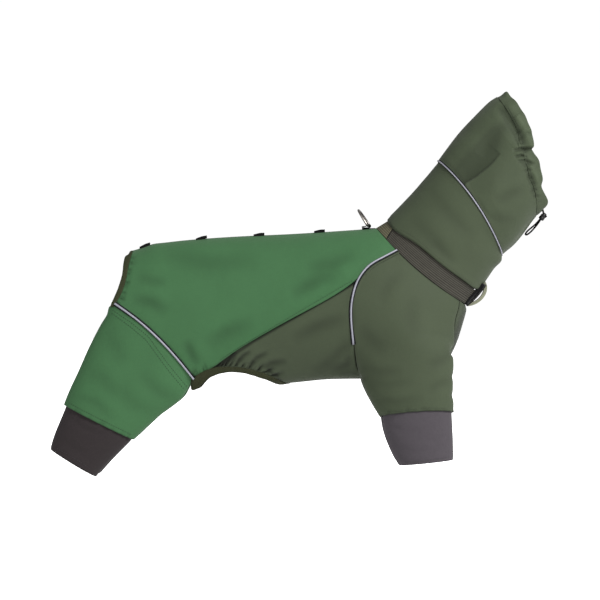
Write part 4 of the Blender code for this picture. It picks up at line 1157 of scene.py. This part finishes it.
def slab(width, thickness, lift=0.0):
    """Profile of a tape with rounded edges."""
    w, t = width / 2, thickness / 2
    corners = ((w - 0.3 * t, t), (w, 0.4 * t), (w, -0.4 * t), (w - 0.3 * t, -t))
    flat = [(x, t) for x in np.linspace(-w + 0.6, w - 0.6, 5)]
    under = [(x, -t) for x in np.linspace(w - 0.6, -w + 0.6, 5)]
    left = [(-x, -y) for x, y in corners]
    return [(x, y + lift) for x, y in (*flat, *corners, *under, *left)]


def body_up(place):
    """Away from the middle of the body."""
    return 0.0, place[1], place[2] - BODY_AXIS_Z


def hood_up(place):
    """Away from the axis of the hood."""
    foot, axis = np.array(HOOD_TUBE[0]), np.array(HOOD_TUBE[1]) - np.array(HOOD_TUBE[0])
    axis = axis / np.linalg.norm(axis)
    gap = np.asarray(place) - foot
    return gap - axis * (gap @ axis)


# %% [markdown]
# ## Piping
# Light-reflecting piping is a cord in a folded strip, sewn into the seam by its flange. So each run is
# a round bead, with a flat flange under it; the flange's near-black colour is painted shade, the shadow
# that shows as a thin line beside the bead.

# %% Piping
# Width of the bead, and how far it sinks from the imported strip's middle.
BEADS = {"shoulder": (2.5, 0.9), "hind": (2.7, 0.9), "collar": (1.8, 1.2)}
# Width of the flange, and its shift towards the side on which its painted shade shows.
FLANGES = {"shoulder": (6.6, 0.0), "hind": (6.6, 0.0), "collar": (3.6, 0.7)}
FLANGE_DROP = 0.9
# Steps between two packed rings, rings by which a closed run laps itself, and passes that ease the rest.
RING_STEPS = 6
OVERLAP = 3
EASING_PASSES = 40
# How far a run goes on at its lower and its higher end.
RUN_ENDS = {"shoulder": (8.0, 0.5), "hind": (1.2, 1.0)}
# The wide seam allowance by the neck backs the corner where three panels meet.
ALLOWANCE_FOOT = -58.0
ALLOWANCE = (12, 1, 8, -2.9)


def seam_route(node, closed=False):
    """Middles of a packed piping's rings, smoothed."""
    bm = merged_copy(node)
    if closed:
        foot, head, _ = HOOD_TUBE
        axis = (Vector(head) - Vector(foot)).normalized()
        other = axis.cross(Vector((0.0, 1.0, 0.0)))
        turned = sorted(bm.verts, key=lambda vert: math.atan2(
            vert.co.y, (vert.co / MM - Vector(foot)).dot(other)))
        rings = [turned[n:n + 4] for n in range(0, len(turned), 4)]
    else:
        bm.verts.index_update()
        rings = ring_walk(bm)
    middles = [middle / MM for middle in ring_middles(rings)]
    bm.free()
    if closed:
        middles = middles[-OVERLAP:] + middles + middles[:OVERLAP]
    route = smooth_route(middles, RING_STEPS * (len(middles) - 1) + 1)
    if closed:
        return route[OVERLAP * RING_STEPS:-OVERLAP * RING_STEPS]
    for _ in range(EASING_PASSES):
        route[1:-1] = 0.25 * route[:-2] + 0.5 * route[1:-1] + 0.25 * route[2:]
    return route


def bead_and_flange(node, run, route, up_of, closed=False):
    width, sink = BEADS[run]
    bead = sweep(f"{node}_bead", route, oval(width, width, 10, lift=-sink), up_of, piping_finish, closed)
    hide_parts(node)
    width, shift = FLANGES[run]
    profile = [(across + shift, up) for across, up in oval(width, 1.0, 8, lift=-sink - FLANGE_DROP)]
    sweep(f"{node}_flange", route, profile, up_of, flange_shade_finish, closed)


def extend(route, low, high):
    """Adds a straight piece of so many millimetres at the lower and the higher end."""
    first, last = (low, high) if route[0][2] < route[-1][2] else (high, low)
    head = route[0] + (route[0] - route[1]) / np.linalg.norm(route[0] - route[1]) * first
    tail = route[-1] + (route[-1] - route[-2]) / np.linalg.norm(route[-1] - route[-2]) * last
    return np.vstack([head, route, tail])


for side_name, side in SIDES:
    for run, ends in RUN_ENDS.items():
        node = f"{run}_piping_{side_name}"
        route = extend(seam_route(node), *ends)
        bead_and_flange(node, run, route, body_up)
        if run == "shoulder":
            allowance = [place for place in route if place[2] > ALLOWANCE_FOOT]
            sweep(f"shoulder_allowance_{side_name}", allowance, oval(*ALLOWANCE), body_up, olive_cloth)
route = seam_route("collar_piping", closed=True)
bead_and_flange("collar_piping", "collar", route, hood_up, closed=True)
print("piping round the collar, places:", len(route))

# %% [markdown]
# ## Loops, tab and ring
# Four short loops are sewn along the spine, each of two tapes that lie nearly flat. The ring hangs in a
# tab of the same tape, slightly askew, as a ring in a soft tape does.

# %% Spine loops, tab and ring
LOOP_ENDS = (((-280.2, -21.6), (-266, -15.6)), ((-201.4, -9.8), (-186.4, -5.8)),
             ((-120.9, -4.2), (-105.9, -2)), ((-36.2, 0.6), (-21.2, 2.6)))
LOOP_PROFILE = slab(9.0, 2.2)
# Share of a loop's length, and how high the upper tape stands there over its line.
LOOP_RISES = ((0, -0.4), (0.16, -0.1), (0.34, 0.2), (0.5, 0.4), (0.66, 0.4), (0.84, 0.1), (1, -0.1))
LOOP_DROP = 1.5
RING_SHEAR = 0.16
RING_SWELL = 0.25


def spine_up(_):
    return 0.0, 0.0, 1.0


for number, ((x0, z0), (x1, z1)) in enumerate(LOOP_ENDS, start=1):
    run = [(x0 + (x1 - x0) * share, 0.0, z0 + (z1 - z0) * share + rise) for share, rise in LOOP_RISES]
    upper = sweep(f"spine_loop_{number}_upper", smooth_route(run, 25), LOOP_PROFILE, spine_up, black_tape)
    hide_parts(f"spine_loop_{number}")
    flat = [(x, 0.0, z - LOOP_DROP) for (x, _, z) in (run[0], run[-1])]
    flat.insert(1, tuple(np.mean(flat, axis=0)))
    sweep(f"spine_loop_{number}_lower", smooth_route(flat, 7), LOOP_PROFILE, spine_up, black_tape)
strip("ring_tab", "ring_tab_tape", black_tape, 2, 0.7)
TAB_FOOT = ((31, 0, 4), (40, 0, 4.2), (49, 0, 4.4))
sweep("ring_tab_foot", smooth_route(TAB_FOOT, 7), slab(10.0, 2.0), spine_up, black_tape)


def skewed_ring():
    """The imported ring, rounded, and sheared so that its two sides part a little in the side view."""
    bm = merged_copy("back_ring")
    shear = Matrix.Identity(4)
    shear[0][1] = RING_SHEAR
    bmesh.ops.transform(bm, matrix=shear, verts=bm.verts[:])
    obj = mesh_object("back_ring_wire", bm)
    subdivide(obj, 2)
    set_coordinates(obj.data, coordinates(obj.data) + RING_SWELL * vertex_normals(obj.data))
    obj.data.materials.clear()
    obj.data.materials.append(steel_finish)
    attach(obj, "ring")
    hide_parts("back_ring")
    return obj


skewed_ring()

# %% [markdown]
# ## The throat
# The two ends of the webbing meet in a black side-release buckle at the throat, seen edge-on. A loop
# of olive tape stands out over it.

# %% Throat
THROAT_TAPE = ((202.4, 0, -73.2), (197.4, 0, -80.4), (191, 0, -88.4), (184, 0, -95.6),
               (176.4, 0, -102))
THROAT_UNDERLAY = ((199.4, 0, -72.6), (193.6, 0, -80), (186, 0, -88), (177.4, 0, -95.6),
                   (172, 0, -100))
THROAT_LOOP = ((201.6, 0, -70.8), (203.2, 0, -76.4), (202.4, 0, -84), (198, 0, -91.8),
               (191.4, 0, -97.4), (184.6, 0, -100.6), (178.4, 0, -101.8))
# The first ridge of the buckle's grips, and the way to the next.
GRIP = (198.6, 13.2, -79.8)
GRIP_STEP = (-4.6, -5.4)


def throat_up(_):
    return 0.8, 0.0, -0.6


strip("throat_buckle", "throat_buckle_body", plastic_finish, 2, 0.5)
sweep("throat_buckle_tongue", smooth_route(THROAT_TAPE, 17), slab(24.0, 4.8), throat_up, plastic_finish)
sweep("throat_underlay", smooth_route(THROAT_UNDERLAY, 13), slab(30.0, 4.6), throat_up, black_tape)
loop = sweep("throat_loop_tape", smooth_route(THROAT_LOOP, 31), slab(20.0, 4.2), throat_up, loop_finish)
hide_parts("throat_loop")
for number in range(4):
    for side in (-1, 1):
        place = Vector((GRIP[0] + GRIP_STEP[0] * number, side * GRIP[1], GRIP[2] + GRIP_STEP[1] * number))
        route = [place + Vector((0.0, side * step, 0.0)) for step in (-1.6, 0.0, 1.6)]
        sweep(f"throat_buckle_grip_{number}_{'left' if side > 0 else 'right'}", [tuple(p) for p in route],
              oval(1.6, 1.6, 8), throat_up, plastic_finish)

# %% [markdown]
# ## The cord lock
# A barrel with a push button holds the cord. It is a profile spun about the barrel's axis, and the
# cord's short ends stand out of it.

# %% Cord lock
LOCK_CENTRE = Vector((284.0, 0.0, 21.6))
LOCK_AXIS = Vector((0.62, 0.0, 0.78)).normalized()
LOCK_PROFILE = ((0.1, -5.4), (2.7, -5.4), (3.6, -4.9), (4, -4), (4, -1.2), (3.7, -0.9),
                (3.7, -0.3), (4, 0), (4, 1.8), (3.6, 2.6), (2.9, 2.8), (2.9, 4.6), (2.4, 5.4),
                (1.4, 5.8), (0.1, 5.9))


def cord_lock():
    bm = bmesh.new()
    line = [bm.verts.new((MM * radius, 0.0, MM * height)) for radius, height in LOCK_PROFILE]
    edges = [bm.edges.new(pair) for pair in zip(line, line[1:])]
    bmesh.ops.spin(bm, geom=line + edges, cent=(0, 0, 0), axis=(0, 0, 1), angle=TURN, steps=28,
                   use_merge=True)
    bmesh.ops.remove_doubles(bm, verts=bm.verts[:], dist=1e-6)
    bmesh.ops.holes_fill(bm, edges=bm.edges[:], sides=0)
    bmesh.ops.recalc_face_normals(bm, faces=bm.faces[:])
    turn = LOCK_AXIS.to_track_quat("Z", "Y").to_matrix().to_4x4()
    bmesh.ops.transform(bm, matrix=Matrix.Translation(MM * LOCK_CENTRE) @ turn, verts=bm.verts[:])
    obj = mesh_object("cord_lock_barrel", bm)
    obj.data.materials.append(plastic_finish)
    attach(obj, "suit")
    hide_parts("cord_lock")
    return obj


lock = cord_lock()
END_ROUTE = ((285.4, 0, 21), (287.4, -1.2, 21), (289, -2, 22.4))
NECK_ROUTE = ((285, 0.6, 24), (284.6, 0.8, 28), (283.6, 0.6, 32))
cord_end = sweep("drawcord_end", smooth_route(END_ROUTE, 9), oval(2.3, 2.3, 10), spine_up, cord_finish)
cord_neck = sweep("drawcord_neck", smooth_route(NECK_ROUTE, 9), oval(2.6, 2.6, 10),
                  lambda _: (1.0, 0.0, 0.0), cord_finish)
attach(drawcord, "suit")
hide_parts("drawcord")

# %% [markdown]
# ## Stitches
# A stitch is a short capsule of thread that sinks a little into the cloth at its ends. Rows are named
# by places in the side view, and each stitch is laid on the cloth by a ray from that side, with its
# length along the row.

# %% Stitches
STITCH = (2.7, 0.85, 0.6)
STITCH_LIFT = 0.08
# A longer way to the next stitch, in stitch lengths, is a gap in the row.
ROW_GAP = 2.5
RAY_START = 300.0
SURFACES = {}


def surface(name):
    """The cloth's shape as rays see it."""
    if name not in SURFACES:
        obj = bpy.data.objects[name]
        SURFACES[name] = BVHTree.FromPolygons([vertex.co[:] for vertex in obj.data.vertices],
                                              [polygon.vertices[:] for polygon in obj.data.polygons])
    return SURFACES[name]


def spaced(line, pitch):
    """Places along a line, a pitch apart."""
    spans = line_spans(line)
    return [place_at(line, spans, run) for run in np.arange(0.5 * pitch, spans[-1], pitch)]


def row_on(names, line, side, pitch=3.5):
    """Places and normals of a row's stitches on the first of the named pieces that a side ray meets."""
    found = []
    for x, z in spaced(line, pitch):
        hits = [surface(name).ray_cast(MM * Vector((x, side * RAY_START, z)), Vector((0.0, -side, 0.0)))
                for name in names]
        hits = [hit for hit in hits if hit[0] is not None]
        if hits:
            place, normal = min(hits, key=lambda hit: hit[3])[:2]
            found.append((place, normal if normal.y * side > 0 else -normal))
    return found


def sew(name, rows, material):
    """One mesh with all stitches of some rows."""
    bm = bmesh.new()
    count = 0
    for row in rows:
        for (place, normal), (ahead, _) in zip(row, row[1:]):
            run = ahead - place
            if run.length > ROW_GAP * STITCH[0] * MM:
                continue
            forward = (run - normal * run.dot(normal)).normalized()
            turn = Matrix((forward, normal.cross(forward), normal)).transposed().to_4x4()
            made = bmesh.ops.create_uvsphere(bm, u_segments=6, v_segments=5, radius=0.5 * MM)["verts"]
            middle = place + 0.5 * run + normal * STITCH_LIFT * MM
            bmesh.ops.transform(bm, verts=made, matrix=Matrix.Translation(middle) @ turn
                                @ Matrix.Diagonal((*STITCH, 1.0)))
            count += 1
    obj = mesh_object(name, bm)
    obj.data.materials.append(material)
    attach(obj, "suit")
    print(name, "stitches", count)
    return obj


# %% [markdown]
# Two rows run beside the thigh's piping, and one along the saddle's edge, the collar, the hem channel
# and each hem and cuff. The webbing's end is folded under the nape tape, and a thin black cord along that
# joint is painted shade for the shadow line there.

# %% Rows of stitches
TOPSTITCH = (
    ((-317.4, -107.9), (-289.2, -126.3), (-265, -145.9), (-237.7, -184), (-220.9, -205.1),
     (-210.4, -218.8)),
    ((-318.6, -112), (-291.6, -131), (-268.6, -150.2), (-241.6, -187.4), (-225.2, -208),
     (-214.8, -221.2)),
)
SADDLE_TOP = ((-168, -179), (-147.8, -165.4), (-119, -147.6), (19, -66.6))
FRONT_HEM_ROW = ((60, -250.6), (90, -246.6), (120, -243.8), (152, -244.6))
HIND_HEM_ROW = ((-378, -236), (-348, -251), (-316, -267), (-288, -281.6))
FRONT_CUFF_ROW = ((86, -319.6), (110, -317.6), (132, -314.6), (152, -312))
HIND_CUFF_ROW = ((-394, -299), (-374, -309.6), (-356, -320.6), (-344, -329.6))
COLLAR_ROW = ((82, 3.6), (97, -4.6), (114, -18), (141, -41), (170, -63), (186, -74))
CASING_ROW = ((232.6, 174), (247.6, 146), (256.6, 108.6), (265.6, 77), (274, 55))

green_rows, olive_rows, cuff_rows = [], [], []
for side_name, side in SIDES:
    hind, front = f"hind_leg_{side_name}_cloth", f"sleeve_{side_name}_cloth"
    green_rows += [row_on((hind,), line, side) for line in TOPSTITCH]
    green_rows += [row_on((f"back_{side_name}_cloth",), SADDLE_TOP, side),
                   row_on((hind,), HIND_HEM_ROW, side)]
    olive_rows += [row_on((front,), FRONT_HEM_ROW, side), row_on(("collar_cloth",), COLLAR_ROW, side)]
    olive_rows.append(row_on(("hood_casing_cloth",), CASING_ROW, side, 3.0))
    cuff_rows += [row_on((f"front_cuff_{side_name}_jersey",), FRONT_CUFF_ROW, side),
                  row_on((f"hind_cuff_{side_name}_jersey",), HIND_CUFF_ROW, side)]
sew("green_stitches", green_rows, green_thread)
sew("olive_stitches", olive_rows, olive_thread)
sew("cuff_stitches", cuff_rows, grey_thread)
# A thin black cord along the joint of webbing and nape tape: painted shade for the shadow line there.
NAPE_SHADE_LINE = ((74.4, 5.2), (64.2, -10))
for side_name, side in SIDES:
    places = row_on((f"webbing_{side_name}_strap", "nape_tape_strap"), NAPE_SHADE_LINE, side, 2.0)
    seam = [tuple(place / MM + 0.2 * normal) for place, normal in places]
    sweep(f"nape_shade_line_{side_name}", seam, oval(1.6, 0.9, 8), body_up, black_tape)

# %% [markdown]
# ## The studio
# A pale floor just below the cuffs, a soft light from the front right and above, a weak one from the
# front left, and an even white surround, as in a catalogue. The floor glows a little, so that it stays as
# white as the surround.

# %% Studio
FLOOR_Z = -346.0
FLOOR_REACH = 14.0
FLOOR_GLOW = 0.45
WORLD_STRENGTH = 1.02
# Place, target, size and power of each light.
LIGHTS = {
    "key": ((2.4, -2.0, 1.9), (0.0, 0.0, -0.1), 1.5, 470.0),
    "fill": ((-2.2, -2.6, 0.9), (-0.1, 0.0, -0.1), 1.6, 70.0),
}
PALE = ((0.94, 0.94, 0.94, 1.0), (0.97, 0.97, 0.97, 1.0))


def add_floor():
    finish = Finish("studio_floor", 0.95, Specular_IOR_Level=0.0, Emission_Strength=FLOOR_GLOW)
    finish.feed("Base Color", finish.blend(finish.noise(3.0), *PALE))
    bm = bmesh.new()
    bmesh.ops.create_grid(bm, x_segments=8, y_segments=8, size=FLOOR_REACH)
    bmesh.ops.translate(bm, verts=bm.verts[:], vec=(0.0, 0.0, MM * FLOOR_Z))
    floor = mesh_object("studio_floor", bm)
    floor.data.materials.append(finish.material)


def add_light(name, place, target, size, power):
    data = bpy.data.lights.new(name, "AREA")
    data.shape = "DISK"
    data.size = size
    data.energy = power
    light = bpy.data.objects.new(name, data)
    light.location = place
    light.rotation_euler = (Vector(target) - Vector(place)).to_track_quat("-Z", "Y").to_euler()
    bpy.context.scene.collection.objects.link(light)


def add_world(strength):
    world = bpy.data.worlds.new("studio_world")
    world.use_nodes = True
    background = world.node_tree.nodes["Background"]
    background.inputs["Color"].default_value = (1.0, 1.0, 1.0, 1.0)
    background.inputs["Strength"].default_value = strength
    bpy.context.scene.world = world


add_floor()
add_world(WORLD_STRENGTH)
for name, light in LIGHTS.items():
    add_light(name, *light)
bpy.context.scene.view_settings.view_transform = "Standard"

# %% [markdown]
# ## The cut sizes
# The table below gives, for every panel, the size it was cut to; the loop under it does nothing with them.

# %% Cut sizes
# Width and length of the rectangle that each panel is cut from, in metres.
CUTS = {
    "back_{}_cloth": (0.215, 0.395), "underbody_cloth": (0.33, 0.37), "sleeve_{}_cloth": (0.27, 0.30),
    "hind_leg_{}_cloth": (0.26, 0.24), "front_cuff_{}_jersey": (0.24, 0.085),
    "hind_cuff_{}_jersey": (0.22, 0.09), "collar_cloth": (0.34, 0.16), "hood_{}_cloth": (0.17, 0.21),
    "hood_casing_cloth": (0.46, 0.022),
}
for pattern, cut in CUTS.items():
    for name in dict.fromkeys(pattern.format(side_name) for side_name, _ in SIDES):
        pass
